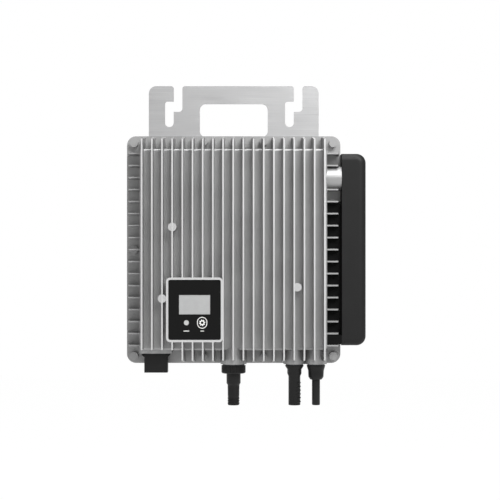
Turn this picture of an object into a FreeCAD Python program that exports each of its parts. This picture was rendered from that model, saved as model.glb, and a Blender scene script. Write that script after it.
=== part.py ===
"""A grid-tie micro inverter: a finned die-cast housing hung from a slotted sheet bracket, with a
small display panel, a black wiring box along its right side, and plug connectors underneath.

Frame: +X to the right seen from the front, +Z up, and the front looks along -Y. The rear face of
the bracket lies on Y = 0, and Z = 0 is the level of the two bolts that the bracket hangs on.
Depth in the names below is the distance forward from the bracket's rear face, so Y = -depth.
"""

import FreeCAD, Part
import os
import re
import Sketcher

# The driving dimensions, in millimetres, degrees or numbers of copies
SIZES = {
    # Hanging bracket
    "bracket_sheet": 3,  # thickness of the sheet
    "bracket_wide": 205,  # width of the bracket
    "bracket_rise": 44,  # bolt level to the bracket's top edge
    "bracket_lap": 46,  # how far the bracket laps down the back of the housing
    "bracket_corner": 9,  # outer corner radius
    "hook_wide": 10.5,  # width of the hook slots, for M10 bolts
    "hook_pitch": 145,  # distance between the two hook slots
    "hook_step": 13,  # bolt level to the floor of the slot's entry
    "hook_shelf": 25.5,  # bolt level to the top of the slot's seat
    "hook_entry_corner": 4.5,  # radius inside the entry's floor
    "hook_mouth_corner": 3,  # radius at the slot's mouth
    "handle_wide": 82,  # width of the carrying handle's hole
    "handle_top": 22.4,  # bolt level up to the top of the handle hole
    "handle_lap": 0.3,  # lower edge of the handle hole below the housing's top edge
    "handle_corner": 7.5,  # corner radius of the handle hole
    # Housing casting
    "hang_drop": 17.2,  # bolt level down to the housing's top edge
    "cover_sheet": 2.5,  # thickness of the rear cover
    "flange_wide": 256,  # width of the flange
    "flange_tall": 272,  # height of the flange
    "flange_sheet": 6,  # thickness of the flange
    "flange_corner": 11,  # corner radius of the flange
    "flange_margin": 17,  # flange edge to the side of the raised block
    "block_proud": 24.5,  # height of the block above the flange
    "block_corner": 5,  # corner radius of the block
    "block_edge": 2.5,  # rounding of the block's front edge
    "wall": 3,  # wall of the block around its cavity
    "cavity_corner": 1.5,  # corner radius of the cavity
    "fin_count": 19,  # upright fins
    "fin_inset": 3.9,  # block's side to the middle of its first fin
    "fin_height": 16,  # height of the upright fins above the block
    "fin_tip": 1.8,  # thickness of a fin at its tip
    "fin_root": 3.4,  # thickness of a fin at the flange
    "fin_end_gap": 1.5,  # flange edge to the foot of a fin
    "fin_end_lean": 5,  # how far a fin's end leans in over its height
    "side_fin_count": 17,  # short fins down each side
    "side_fin_inset": 5.4,  # block's end to the middle of its first side fin
    "side_fin_tip": 1.7,  # thickness of a side fin at its tip
    "side_fin_root": 2.8,  # thickness of a side fin at the flange
    "side_fin_sink": 1.2,  # side fin tips below the block's front face
    "side_fin_lean": 2.8,  # how far a side fin's end leans in
    "fin_clearing": 1,  # how far the fins keep back from every hole
    "ejector_radius": 5,  # radius of the ejector pads between the fins
    "ejector_sink": 0.5,  # ejector pads below the fin tips
    "upper_ejector_fin": 3,  # fin under the upper left pad, counted from zero
    "upper_ejector_rise": 26.5,  # middle of the housing up to it
    "lower_ejector_fin": 2,  # fin under the lower left pad
    "lower_ejector_drop": 57.3,  # middle of the housing down to it
    "right_ejector_fin": 15,  # fin to the left of the right pad
    "right_ejector_shift": 3.7,  # that fin across to the pad
    "right_ejector_drop": 44,  # middle of the housing down to it
    "boss_radius": 4.8,  # radius of the screw bosses on the flange
    "boss_height": 8,  # height of the screw bosses
    "corner_inset": 9,  # flange edge to the corner screws
    "edge_inset": 7,  # flange edge to the top and bottom screws
    "edge_screw_fins": 3,  # fin pitches from the middle to the top and bottom screws
    "bracket_screw_fins": 6,  # fin pitches from the middle to the lower bracket screws
    "bracket_screw_drop": 37,  # housing top to the lower bracket screws
    "groove_wide": 3.5,  # width of the gasket groove
    "groove_deep": 1.5,  # depth of the gasket groove
    "groove_inset": 2.5,  # cavity edge to the gasket groove
    "tap_radius": 1.65,  # radius of the tapped holes for the cover screws
    "tap_depth": 12,  # depth of the tapped holes
    "crown": 0.1,  # flat at the crown of a round-ended outline
    "overlap": 1,  # how far a feature runs into, or a cut runs past, the one it meets
    # Screws
    "screw_radius": 1.6,  # radius of the cover and bracket screws
    "screw_grip": 9,  # their length inside the housing
    "screw_clear": 0.5,  # their clearance in the cover and the bracket
    "screw_head_radius": 3.8,  # radius of the cover screws' heads
    "screw_head_height": 2.4,  # height of these heads
    "screw_head_edge": 0.8,  # rounding of these heads
    "socket_radius": 1.2,  # corner radius of the hexagon socket
    "socket_deep": 1.3,  # depth of the hexagon socket
    "sink_head_radius": 3.7,  # radius of the bracket's countersunk heads
    "sink_head_height": 2.2,  # height of the countersunk heads
    "sink_gap": 0.1,  # countersink around the head
    "cross_long": 4,  # length of the cross recess
    "cross_wide": 0.9,  # width of the cross recess
    "cross_deep": 1.2,  # depth of the cross recess
    "board_screw_radius": 1.25,  # radius of the main board's screws
    "board_screw_clear": 0.3,  # their clearance in the board
    "board_screw_grip": 6,  # their length inside the posts
    "board_head_radius": 2.6,  # radius of their heads
    "board_head_height": 1.8,  # height of their heads
    # Display panel
    "display_wide": 66.7,  # width of the frame
    "display_tall": 75.6,  # height of the frame
    "display_fin": 8,  # the frame's right side stands on this fin, counted from zero
    "display_rise": 48.5,  # block's lower end up to the middle of the display
    "display_corner": 5,  # outer corner radius of the frame
    "display_rim": 2.6,  # thickness of the frame's rim
    "display_recess": 1.3,  # rim to the face of the overlay
    "display_ledge": 3.2,  # ledge that the overlay is glued to
    "overlay_thick": 1.4,  # thickness of the overlay
    "overlay_gap": 0.2,  # gap around the overlay
    "window_wide": 36.6,  # width of the window
    "window_tall": 22.8,  # height of the window
    "window_rise": 6,  # middle of the overlay up to the window's middle
    "pane_gap": 0.1,  # gap around the window's pane
    "pane_sink": 0.3,  # pane's face behind the overlay's face
    "control_drop": 15.1,  # middle of the overlay down to the lamp and the button
    "lamp_shift": 9.6,  # middle of the overlay left to the lamp
    "lamp_radius": 3,  # radius of the lamp's hole
    "lamp_gap": 0.05,  # gap around the lamp's light pipe
    "lamp_sink": 0.1,  # light pipe's face behind the overlay's face
    "button_shift": 8.9,  # middle of the overlay right to the button
    "button_wide": 12.8,  # width of the button's hole
    "button_tall": 14.6,  # height of the button's hole
    "button_gap": 0.3,  # running gap around the button
    "button_proud": 0.5,  # button's face in front of the overlay
    "button_edge": 0.4,  # rounding of the button's face
    "button_flange": 0.9,  # how far the button's flange stands out past its hole
    "button_flange_thick": 1,  # thickness of this flange
    "stem_radius": 1.5,  # radius of the button's stem
    "stem_sink": 0.2,  # how deep the stem stands in the switch
    "switch_wide": 6,  # side of the switch
    "switch_tall": 1.6,  # height of the switch
    "switch_corner": 0.6,  # corner radius of the switch
    "switch_well_radius": 1.7,  # radius of the well for the stem
    "switch_well_deep": 1.2,  # depth of the well
    "board_sheet": 1.6,  # thickness of both circuit boards
    "screen_thick": 4,  # thickness of the display module
    "screen_foot": 0.8,  # the module's border below the window
    "screen_head": 5,  # its border above the window
    "screen_side": 2.5,  # its border beside the window
    "display_board_lap": 1.3,  # display board's lap behind the ledge
    "display_board_gap": 0.2,  # gap around the display board
    "header_wide": 18,  # width of the pin header between the boards
    "header_thick": 2.5,  # height of the header
    "header_rise": 12,  # middle of the display up to the header
    # Data port under the display
    "comm_inset": 19,  # block's left side to the middle of the port
    "comm_boss_wide": 38,  # width of the port's boss
    "comm_boss_tall": 4,  # how far the boss reaches below the block
    "comm_boss_sink": 2,  # the boss below the block's front face
    "comm_fins": 4,  # fins that end above the port
    "comm_hole_wide": 24,  # width of the port's hole
    "comm_hole_thick": 13,  # thickness of the port's hole
    "comm_hole_corner": 1.5,  # corner radius of the port's hole
    "comm_gap": 0.2,  # gap between the socket and its hole, and between the hole's outline and the cap
    "comm_spigot": 13,  # length of the socket inside the cap
    "comm_floor": 3,  # boss to the floor of the socket's mouth
    "comm_mouth_wide": 14,  # width of the socket's mouth
    "comm_mouth_thick": 8,  # thickness of the socket's mouth
    "comm_mouth_corner": 1,  # corner radius of the socket's mouth
    "comm_collar_lap": 2,  # the socket's collar, past the hole inside the housing
    "comm_collar_thick": 2,  # thickness of the collar
    "comm_pin_count": 5,  # contacts in the socket
    "comm_pin_pitch": 2.5,  # spacing of the contacts
    "comm_pin_wide": 1,  # width of a contact
    "comm_pin_thick": 0.8,  # thickness of a contact
    "comm_pin_long": 7,  # length of a contact
    "comm_seal": 1,  # thickness of the port's flat seal
    "comm_seal_lap": 2,  # the seal, past the hole
    "comm_cap_wide": 27.6,  # width of the cap
    "comm_cap_thick": 18,  # thickness of the cap
    "comm_cap_long": 22.8,  # boss to the cap's lower end
    "comm_cap_floor": 1.8,  # thickness of the cap's lower end
    "comm_cap_corner": 2,  # corner radius of the cap
    "comm_lip": 3,  # how far the cap's upper lip stands out
    "comm_lip_tall": 3.4,  # height of the lip with its slope
    "comm_lip_edge": 1.1,  # height of the lip's upright edge
    # Plug connectors
    "plug_rise": 16.5,  # flange's back face forward to the connectors' axes
    "plug_long": 61,  # flange's lower edge down to the connectors' ends
    "plug_clear": 0.1,  # clearance of the connectors in their bores
    "plug_past_nut": 0.5,  # how far the connectors stand past their nuts
    "seal_thick": 1.6,  # thickness of the connectors' seals
    "contact_proud": 3,  # how far the solar contacts stand out inside
    "ac_boss_radius": 15.5,  # radius of the mains connector's spout
    "ac_bore_radius": 10.5,  # bore for the mains connector
    "ac_block_radius": 5.6,  # radius of the block that holds the mains contacts
    "ac_block_sink": 2,  # its ends inside the receptacle
    "ac_thread_radius": 12,  # radius of the thread inside the lock ring
    "ac_thread_long": 6,  # length of the receptacle's thread
    "ac_thread_gap": 0.4,  # play in the thread
    "ac_seal_lap": 1,  # the seal, past the thread
    "ac_ring_radius": 14.4,  # radius of the lock ring
    "ac_ring_long": 11,  # flange to the lock ring's lower end
    "ac_ring_floor": 2,  # thickness of the lock ring's lower end
    "ac_ring_gap": 0.3,  # play of the lock ring
    "ac_ring_edge": 1,  # chamfer of the lock ring
    "ac_flute_count": 20,  # grip flutes around the lock ring
    "ac_flute_radius": 1.5,  # radius of the cutter for a flute
    "ac_flute_shift": 0.9,  # the cutter's axis outside the ring
    "ac_sleeve_radius": 8.4,  # radius of the mains sleeve at its top
    "ac_tail_radius": 7.1,  # radius of the sleeve's tail
    "ac_taper_end": 25,  # flange to the end of the sleeve's taper
    "ac_taper_long": 2,  # length of this taper
    "ac_grip_long": 11,  # length of the tail that carries the rings
    "ac_grip_sink": 0.2,  # tail's waist above the rings
    "ac_rib_count": 3,  # rings around the sleeve's end
    "ac_rib_start": 1,  # sleeve's end to its first ring
    "ac_rib_pitch": 3,  # spacing of the rings
    "ac_rib_wide": 2,  # width of a ring at its foot
    "ac_rib_slope": 0.4,  # width of a ring's slope
    "ac_rib_height": 0.5,  # height of the rings
    "ac_cable_radius": 4.6,  # bore for the mains cable
    "ac_contact_count": 3,  # mains contacts
    "ac_contact_radius": 1.2,  # radius of a contact
    "ac_contact_circle": 3.2,  # radius of the circle that the contacts stand on
    "ac_contact_long": 3,  # length of a contact
    "dc_boss_radius": 13,  # radius of the solar connectors' spouts
    "dc_bore_radius": 7,  # bore for the solar connectors
    "dc_plus_inset": 38.5,  # block's right side to the positive connector
    "dc_minus_inset": 12.8,  # block's right side to the negative connector
    "dc_collar_radius": 11,  # radius of the collars
    "dc_collar_thick": 1,  # thickness of the collars
    "dc_plus_neck_radius": 8.5,  # radius of the positive collar's neck
    "dc_plus_neck_top": 6.5,  # flange down to the neck's top
    "dc_plus_neck_end": 11.5,  # flange down to the neck's end
    "dc_plus_sleeve_top": 14.5,  # flange down to the sleeve
    "dc_plus_radius": 7.1,  # radius of the positive sleeve
    "dc_plus_mouth_radius": 5.4,  # bore of the sleeve
    "dc_plus_mouth_deep": 32,  # depth of the sleeve's mouth
    "dc_rib_count": 8,  # ribs on the sleeve
    "dc_rib_start": 4,  # sleeve's end to the first rib
    "dc_rib_pitch": 4.1,  # spacing of the ribs
    "dc_rib_height": 0.6,  # height of the ribs
    "dc_rib_wide": 2,  # width of a rib at its foot
    "dc_rib_crest": 0.7,  # width of a rib's crest
    "dc_rib_turn": 150,  # how far a rib runs around the sleeve, in degrees
    "dc_minus_neck_radius": 9,  # radius of the negative collar's lower end
    "dc_minus_flare": 0.4,  # how much wider the collar's waist is
    "dc_minus_waist": 8,  # flange down to this waist
    "dc_minus_neck_end": 15.5,  # flange down to the collar's lower end
    "dc_minus_shoulder_radius": 7,  # radius of the shoulder under the collar
    "dc_minus_nose_top": 18.5,  # flange down to the nose
    "dc_minus_radius": 4.8,  # radius of the nose
    "dc_minus_bore_radius": 3.1,  # bore of the nose
    "dc_minus_chamfer": 0.8,  # length of the chamfer on the nose
    "dc_pin_radius": 2,  # radius of the contact pin
    "dc_pin_tip_radius": 1.3,  # radius of the pin's tip
    "dc_pin_sink": 6,  # pin's tip inside the sleeve
    "dc_pin_chamfer": 1.5,  # length of the pin's pointed tip
    "dc_tube_radius": 3,  # radius of the contact tube
    "dc_tube_sink": 5,  # tube's end inside the nose
    "dc_tube_deep": 20,  # depth of the tube
    "dc_seal_sink": 0.8,  # seal's edge inside the collar's edge
    "dc_nut_radius": 9,  # corner radius of the lock nuts
    "dc_nut_long": 3.5,  # thickness of the lock nuts
    # Wiring box on the right side
    "box_proud": 29,  # how far the box stands out past the flange
    "box_end": 5.3,  # block's end to the box's end
    "box_front": 31.5,  # front of the box, forward of the rear cover's back face
    "box_corner": 11,  # corner radius of the box
    "box_edge": 8,  # rounding of the box's front edges
    "box_wall": 2.5,  # side wall of the box
    "box_front_wall": 3.5,  # front wall of the box
    "box_hollow_corner": 5,  # corner radius inside the box
    "box_lid": 2.5,  # thickness of the rear lid
    "box_seam": 0.3,  # gap between the box and the housing
    "lid_post_radius": 3.4,  # radius of the posts for the lid's screws
    "lid_post_inset": 6,  # the box's inner ends to the outer posts
    "lid_post_drop": 12,  # middle of the box down to the middle post
    "lid_tap_radius": 1.3,  # radius of the holes in the posts
    "lid_tap_deep": 10,  # depth of these holes
    "lid_screw_radius": 1.25,  # radius of the lid's screws
    "lid_screw_clear": 0.25,  # their clearance in the lid
    "lid_screw_long": 8,  # length of the lid's screws
    "lid_head_radius": 2.5,  # radius of their heads
    "lid_head_height": 1.6,  # height of their heads
    "tongue_deep": 14.5,  # depth of the tongue under the side fins
    "tongue_fins": 12,  # side fins that the tongue passes under
    "tongue_boss_radius": 4.6,  # radius of the boss under the middle of the tongue
    "tongue_mark": 0.5,  # width and depth of the ring marked over this boss
    "tongue_skin": 2,  # tongue's face to the end of its screw hole
    "feed_fin": 14,  # the cable boss is centred on this side fin, counted from zero at the bottom
    "feed_boss_radius": 14,  # radius of the cable boss on the housing's right side
    "feed_bore_radius": 7,  # bore of the cable boss
    "grommet_wall": 2,  # wall of the grommet in the cable boss
    "grommet_gap": 0.1,  # gap around the grommet
    "grommet_rim": 2,  # width and thickness of the grommet's rim
    "grommet_past": 1.5,  # how far the grommet reaches into the box
    "terminal_count": 4,  # terminals in the box
    "terminal_pitch": 11,  # spacing of the terminals
    "terminal_gap": 0.4,  # gap between two terminals
    "terminal_rise": 4,  # middle of the box up to the first terminal
    "terminal_wide": 16,  # width of a terminal
    "terminal_high": 14,  # height of a terminal over the box's front wall
    "terminal_spread": 8,  # distance between a terminal's two screws
    "terminal_well_radius": 2.6,  # radius of the wells for the screws
    "terminal_well_deep": 8,  # depth of the wells
    "terminal_screw_radius": 2.3,  # radius of the terminals' screws
    "terminal_screw_long": 4,  # height of the screws above the wells' floor
    # Main board and its parts, placed from the board's middle unless said otherwise
    "board_side": 10,  # cavity wall to the board's side
    "board_head": 44,  # cavity wall to the board's top
    "board_foot": 12,  # cavity wall to the board's lower edge
    "board_back": 8,  # rear cover to the board
    "board_corner": 2,  # corner radius of the board
    "post_radius": 4,  # radius of the board's posts
    "post_inset": 6,  # board's edge to its posts
    "post_tap_radius": 1.3,  # radius of the holes in the posts
    "post_tap_deep": 8,  # depth of these holes
    "core_count": 2,  # transformers
    "core_left": -58,  # the left transformer, from the board's middle
    "core_pitch": 60,  # spacing of the transformers
    "core_rise": 58,  # level of the transformers and the choke
    "core_wide": 42,  # width of a core
    "core_tall": 40,  # length of a core
    "core_gap": 0.9,  # gap between a core and the housing
    "core_leg": 14,  # width of a core's middle leg
    "core_window_wide": 9,  # width of the windows beside this leg
    "core_window_high": 9,  # height of the windows
    "core_floor": 4,  # thickness of the core under the windows
    "coil_gap": 0.2,  # gap between a coil and its core
    "coil_proud": 8,  # how far a coil's ends stand out of its core
    "choke_inset": 42,  # board's right side to the choke
    "choke_radius": 12,  # radius of the choke's ring
    "choke_thick": 5.5,  # radius of the wound ring's section
    "can_count": 3,  # bulk capacitors
    "can_inset": 20,  # board's left side to the first of them
    "can_pitch": 22,  # their spacing
    "can_drop": 4,  # level of their upper ends
    "can_long": 28,  # their length
    "can_gap": 1.9,  # gap between them and the housing
    "can_edge": 0.8,  # rounding of their ends
    "film_count": 2,  # film capacitors
    "film_inset": 44,  # board's right side to the first of them
    "film_pitch": 18,  # their spacing
    "film_drop": 16,  # level of their middle
    "film_wide": 14,  # their width
    "film_tall": 26,  # their length
    "film_gap": 2.9,  # gap between them and the housing
    "relay_count": 2,  # mains relays
    "relay_left": -4,  # the left relay
    "relay_pitch": 26,  # their spacing
    "relay_drop": 54,  # level of their middle
    "relay_wide": 20,  # their width
    "relay_tall": 29,  # their length
    "relay_gap": 2.4,  # gap between them and the housing
    "chip_shift": -68,  # the processor
    "chip_drop": 62,  # its level
    "chip_wide": 16,  # its side
    "driver_shift": -40,  # the gate driver
    "driver_drop": 66,  # its level
    "driver_wide": 9,  # its side
    "chip_high": 1.4,  # height of both chips
    "transistor_count": 4,  # power transistors
    "transistor_left": -16,  # the left transistor
    "transistor_pitch": 18,  # their spacing
    "transistor_wide": 15,  # width of a transistor
    "transistor_low": 2,  # level of its lower end
    "transistor_tall": 18,  # length of its case
    "transistor_thick": 5,  # thickness of its case
    "transistor_leg_count": 3,  # its legs
    "transistor_leg_pitch": 5,  # spacing of its legs
    "transistor_leg_wide": 1.2,  # width of a leg
    "transistor_leg_thick": 0.6,  # thickness of a leg
    "pad_thick": 0.6,  # thickness of the heat pad
    "pad_edge": 1,  # heat pad past the transistors, above and below
    "pad_side": 2.5,  # heat pad past the transistors at its sides
    "tab_wide": 5,  # width of the tabs from the solar contacts
    "tab_thick": 1.5,  # thickness of these tabs
    "tab_lap": 3,  # how far the tabs lap onto the board
}

Vec = FreeCAD.Vector
doc = FreeCAD.newDocument("micro_inverter")
sheet = doc.addObject("Spreadsheet::Sheet", "Sizes")
for row, (alias, number) in enumerate(SIZES.items(), 1):
    sheet.set(f"A{row}", alias.replace("_", " "))
    sheet.set(f"B{row}", str(number))
    sheet.setAlias(f"B{row}", alias)
doc.recompute()
subparts = []

# Widths, depths and levels that several pieces share
BLOCK_WIDE = "(flange_wide - 2 * flange_margin)"
BLOCK_TALL = "(flange_tall - 2 * flange_margin)"
BLOCK_SIDE = f"({BLOCK_WIDE} / 2)"
CAVITY_WIDE = f"({BLOCK_WIDE} - 2 * wall)"
CAVITY_TALL = f"({BLOCK_TALL} - 2 * wall)"
FIN_PITCH = f"(({BLOCK_WIDE} - 2 * fin_inset) / (fin_count - 1))"
SIDE_FIN_PITCH = f"(({BLOCK_TALL} - 2 * side_fin_inset) / (side_fin_count - 1))"
FIRST_FIN = f"(-{BLOCK_SIDE} + fin_inset)"
SEAT = "(bracket_sheet + cover_sheet)"
FLANGE = f"({SEAT} + flange_sheet)"
FACE = f"({FLANGE} + block_proud)"
TIP = f"({FACE} + fin_height)"
SIDE_TIP = f"({FACE} - side_fin_sink)"
ROOF = f"({FACE} - wall)"
TOP = "(-hang_drop)"
MID = "(-hang_drop - flange_tall / 2)"
BOTTOM = "(-hang_drop - flange_tall)"
BLOCK_BOTTOM = f"({BOTTOM} + flange_margin)"
LOWEST_SIDE_FIN = f"({BLOCK_BOTTOM} + side_fin_inset)"
DISPLAY_X = f"({FIRST_FIN} + display_fin * {FIN_PITCH} - display_wide / 2)"
DISPLAY_Z = f"({BLOCK_BOTTOM} + display_rise)"
DISPLAY_INSIDE = ("(display_wide - 2 * display_rim)", "(display_tall - 2 * display_rim)")
OVERLAY_FRONT = f"({TIP} - display_recess)"
OVERLAY_BACK = f"({OVERLAY_FRONT} - overlay_thick)"
SCREEN_BACK = f"({OVERLAY_BACK} - screen_thick)"
COMM_X = f"(-{BLOCK_SIDE} + comm_inset)"
COMM_DEPTH = f"(({FLANGE} + {FACE} - comm_boss_sink) / 2)"
COMM_EDGE = f"({BLOCK_BOTTOM} - comm_boss_tall)"
PLUG_DEPTH = f"({SEAT} + plug_rise)"
SPOUT = "(flange_margin + wall)"
PLUG_TOP = f"({SPOUT} + dc_nut_long + plug_past_nut)"
DC_PLUS_X = f"({BLOCK_SIDE} - dc_plus_inset)"
DC_MINUS_X = f"({BLOCK_SIDE} - dc_minus_inset)"
PLUG_BORES = [("0", "ac_bore_radius"), (DC_PLUS_X, "dc_bore_radius"), (DC_MINUS_X, "dc_bore_radius")]
FEED_Z = f"({LOWEST_SIDE_FIN} + feed_fin * {SIDE_FIN_PITCH})"
BOX_X = "(flange_wide / 2 + box_seam)"
BOX_RIGHT = "(flange_wide / 2 + box_proud)"
BOX_BACK = "(bracket_sheet + box_lid)"
BOX_FRONT = "(bracket_sheet + box_front)"
BOX_FLOOR = f"({BOX_FRONT} - box_front_wall)"
BOX_TALL = f"({BLOCK_TALL} - 2 * box_end)"
BOARD_WIDE = f"({CAVITY_WIDE} - 2 * board_side)"
BOARD_TALL = f"({CAVITY_TALL} - board_head - board_foot)"
BOARD_Z = f"({MID} - (board_head - board_foot) / 2)"
BOARD_REAR = f"({SEAT} + board_back)"
BOARD_FRONT = f"({BOARD_REAR} + board_sheet)"
HEADROOM = f"({ROOF} - {BOARD_FRONT})"

FORWARD, BACKWARD, UP, DOWN = Vec(0, -1, 0), Vec(0, 1, 0), Vec(0, 0, 1), Vec(0, 0, -1)
COS_30 = 0.866
CLOSE = 1e-4


def cells(text):
    """An expression of the document from plain words, each of which is a size's name."""
    return re.sub(r"[a-z_]+", lambda word: "Sizes." + word.group(), str(text))


def value(text):
    """The number that an expression has now."""
    return float(sheet.evalExpression(cells(text)))


def bind(item, path, text):
    item.setExpression(path, cells(text))


def new_body(label):
    body = doc.addObject("PartDesign::Body", label)
    body.Label = label
    return body


def new_subpart(label):
    """A body that is a subpart of its own."""
    subparts.append(new_body(label))
    return subparts[-1]


def origin(body, role):
    return next(f for f in body.Origin.OriginFeatures if f.Role == role)


def box_loop(x, z, wide, tall, corner=None):
    """Four corners of a rectangle about (x, z), rounded if corner is given."""
    left, right = f"{x} - ({wide}) / 2", f"{x} + ({wide}) / 2"
    low, high = f"{z} - ({tall}) / 2", f"{z} + ({tall}) / 2"
    return [(left, low, corner), (right, low, corner), (right, high, corner), (left, high, corner)]


def span_loop(left, right, low, high, corner=None):
    """Four corners of a rectangle between two sides and two levels."""
    return [(left, low, corner), (right, low, corner), (right, high, corner), (left, high, corner)]


def fix_point(sketch, line, end, x, y):
    """Ties one end of a line to a place given by expressions."""
    for kind, text in (("DistanceX", x), ("DistanceY", y)):
        number = sketch.addConstraint(Sketcher.Constraint(kind, -1, 1, line, end, value(text)))
        bind(sketch, f"Constraints[{number}]", text)


def draw_circle(sketch, x, y, radius):
    centre = Vec(value(x), value(y), 0)
    circle = sketch.addGeometry(Part.Circle(centre, Vec(0, 0, 1), value(radius)), False)
    fix_point(sketch, circle, 3, x, y)
    number = sketch.addConstraint(Sketcher.Constraint("Radius", circle, value(radius)))
    bind(sketch, f"Constraints[{number}]", radius)


def draw_loop(sketch, corners):
    """A closed outline. A corner is (x, y) or (x, y, radius); a rounded one has square sides."""
    corners = [(*c, None)[:3] for c in corners]
    spots = [Vec(value(x), value(y), 0) for x, y, _ in corners]
    count = len(corners)
    first = sketch.GeometryCount
    stations = []
    for i, (x, y, radius) in enumerate(corners):
        if radius is None:
            stations.append([(x, y), (x, y)])
            continue
        ends = []
        for other in (spots[i - 1], spots[(i + 1) % count]):
            step = (other - spots[i]).normalize()
            ends.append((f"{x} + ({round(step.x)}) * ({radius})", f"{y} + ({round(step.y)}) * ({radius})"))
        stations.append(ends)
    for i in range(count):
        start, end = stations[i][1], stations[(i + 1) % count][0]
        points = [Vec(value(x), value(y), 0) for x, y in (start, end)]
        sketch.addGeometry(Part.LineSegment(*points), False)
    for i, (x, y, radius) in enumerate(corners):
        line, before = first + i, first + (i - 1) % count
        fix_point(sketch, line, 1, *stations[i][1])
        if radius is None:
            sketch.addConstraint(Sketcher.Constraint("Coincident", before, 2, line, 1))
            continue
        fix_point(sketch, before, 2, *stations[i][0])
        arrive, leave = [Vec(value(a), value(b), 0) for a, b in stations[i]]
        centre = arrive + leave - spots[i]
        turns_left = (spots[i] - arrive).cross(leave - spots[i]).z > 0
        begin, finish = (arrive, leave) if turns_left else (leave, arrive)
        angles = [Vec(1, 0, 0).getAngle(p - centre) * (1 if p.y >= centre.y else -1)
                  for p in (begin, finish)]
        circle = Part.Circle(centre, Vec(0, 0, 1), value(radius))
        arc = sketch.addGeometry(Part.ArcOfCircle(circle, *angles), False)
        ends = (1, 2) if turns_left else (2, 1)
        sketch.addConstraint(Sketcher.Constraint("Coincident", arc, ends[0], before, 2))
        sketch.addConstraint(Sketcher.Constraint("Coincident", arc, ends[1], line, 1))
        number = sketch.addConstraint(Sketcher.Constraint("Radius", arc, value(radius)))
        bind(sketch, f"Constraints[{number}]", radius)


def draw(body, name, role, loops, offset="0"):
    """A sketch on one of the body's planes: loops of corners, or ("circle", x, y, radius)."""
    sketch = body.newObject("Sketcher::SketchObject", name)
    sketch.AttachmentSupport = [(origin(body, role), "")]
    sketch.MapMode = "FlatFace"
    bind(sketch, "AttachmentOffset.Base.z", offset)
    for loop in loops:
        if loop[0] == "circle":
            draw_circle(sketch, *loop[1:])
        else:
            draw_loop(sketch, loop)
    return sketch


def extrude(kind, body, name, sketch, length, backwards=False, both=False, taper=None):
    """A pad or a pocket of a sketch."""
    feature = body.newObject("PartDesign::" + kind, name)
    feature.Profile = sketch
    bind(feature, "Length", length)
    feature.Reversed = backwards
    if both:
        feature.SideType = "Symmetric"
    if taper:
        feature.TaperAngle = taper
    sketch.Visibility = False
    return feature


def pad(body, name, role, loops, offset, length, **more):
    return extrude("Pad", body, name, draw(body, name + "_outline", role, loops, offset), length, **more)


def pocket(body, name, role, loops, offset, length, **more):
    return extrude("Pocket", body, name, draw(body, name + "_outline", role, loops, offset), length, **more)


def pattern(body, name, features, axis, pitch, count):
    """A row of copies of some features."""
    row = body.newObject("PartDesign::LinearPattern", name)
    row.Originals = features
    row.Direction = (origin(body, axis), [""])
    row.Mode = "Spacing"
    bind(row, "Offset", pitch)
    bind(row, "Occurrences", count)
    body.Tip = row
    return row


def around(body, feature, count):
    """Copies of one feature around the body's upright axis."""
    ring = body.newObject("PartDesign::PolarPattern", feature.Name + "_ring")
    ring.Originals = [feature]
    ring.Axis = (origin(body, "Z_Axis"), [""])
    ring.Angle = 360
    bind(ring, "Occurrences", count)
    body.Tip = ring
    return ring


def round_edges(body, name, radius, chosen):
    """Fillets the edges of the body's tip that chosen() picks, with a radius of the sheet."""
    doc.recompute()
    base = body.Tip
    picked = [f"Edge{i}" for i, edge in enumerate(base.Shape.Edges, 1) if chosen(edge)]
    if not picked:
        raise RuntimeError(f"{name} found no edge")
    fillet = body.newObject("PartDesign::Fillet", name)
    fillet.Base = (base, picked)
    bind(fillet, "Radius", radius)
    return fillet


def flat_at_depth(depth):
    """Picks edges that lie wholly in the plane at that depth."""
    y = -value(depth)
    return lambda edge: abs(edge.BoundBox.YMin - y) < CLOSE and abs(edge.BoundBox.YMax - y) < CLOSE


def turned(label, x, depth, z, profile):
    """A round piece on an upright axis. The profile's corners are (radius, height)."""
    body = new_subpart(label)
    bind(body, "Placement.Base.x", x)
    bind(body, "Placement.Base.y", f"-({depth})")
    bind(body, "Placement.Base.z", z)
    revolve = body.newObject("PartDesign::Revolution", label + "_turn")
    revolve.Profile = draw(body, label + "_profile", "XZ_Plane", [profile])
    revolve.ReferenceAxis = (revolve.Profile[0], ["V_Axis"])
    revolve.Angle = 360
    return body


def brick(label, left, right, back, front, low, high):
    """A plain box between two sides, two depths and two levels."""
    item = doc.addObject("Part::Box", label)
    item.Label = label
    for prop, text in (("Length", f"{right} - ({left})"), ("Width", f"{front} - ({back})"),
                       ("Height", f"{high} - ({low})")):
        bind(item, prop, text)
    bind(item, "Placement.Base.x", left)
    bind(item, "Placement.Base.y", f"-({front})")
    bind(item, "Placement.Base.z", low)
    return item


def group(label, shapes):
    """Several separate solids of one kind in one node."""
    item = doc.addObject("Part::Feature", label)
    item.Label = label
    item.Shape = Part.makeCompound(shapes)
    subparts.append(item)
    return item


def row(first, pitch, count):
    """Evenly spaced places, as many as the size named count says."""
    return [f"({first} + {i} * {pitch})" for i in range(SIZES[count])]


def solid_box(left, right, back, front, low, high):
    left, right, back, front, low, high = [value(t) for t in (left, right, back, front, low, high)]
    return Part.makeBox(right - left, front - back, high - low, Vec(left, -front, low))


def solid_rod(radius, x, depth, z, length, direction):
    """A cylinder from a point, along a direction."""
    return Part.makeCylinder(value(radius), value(length), Vec(value(x), -value(depth), value(z)), direction)


def corner_spots():
    across, up = "flange_wide / 2 - corner_inset", "flange_tall / 2 - corner_inset"
    return [(f"{sx} * ({across})", f"{MID} + {sz} * ({up})") for sx in (-1, 1) for sz in (-1, 1)]


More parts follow.
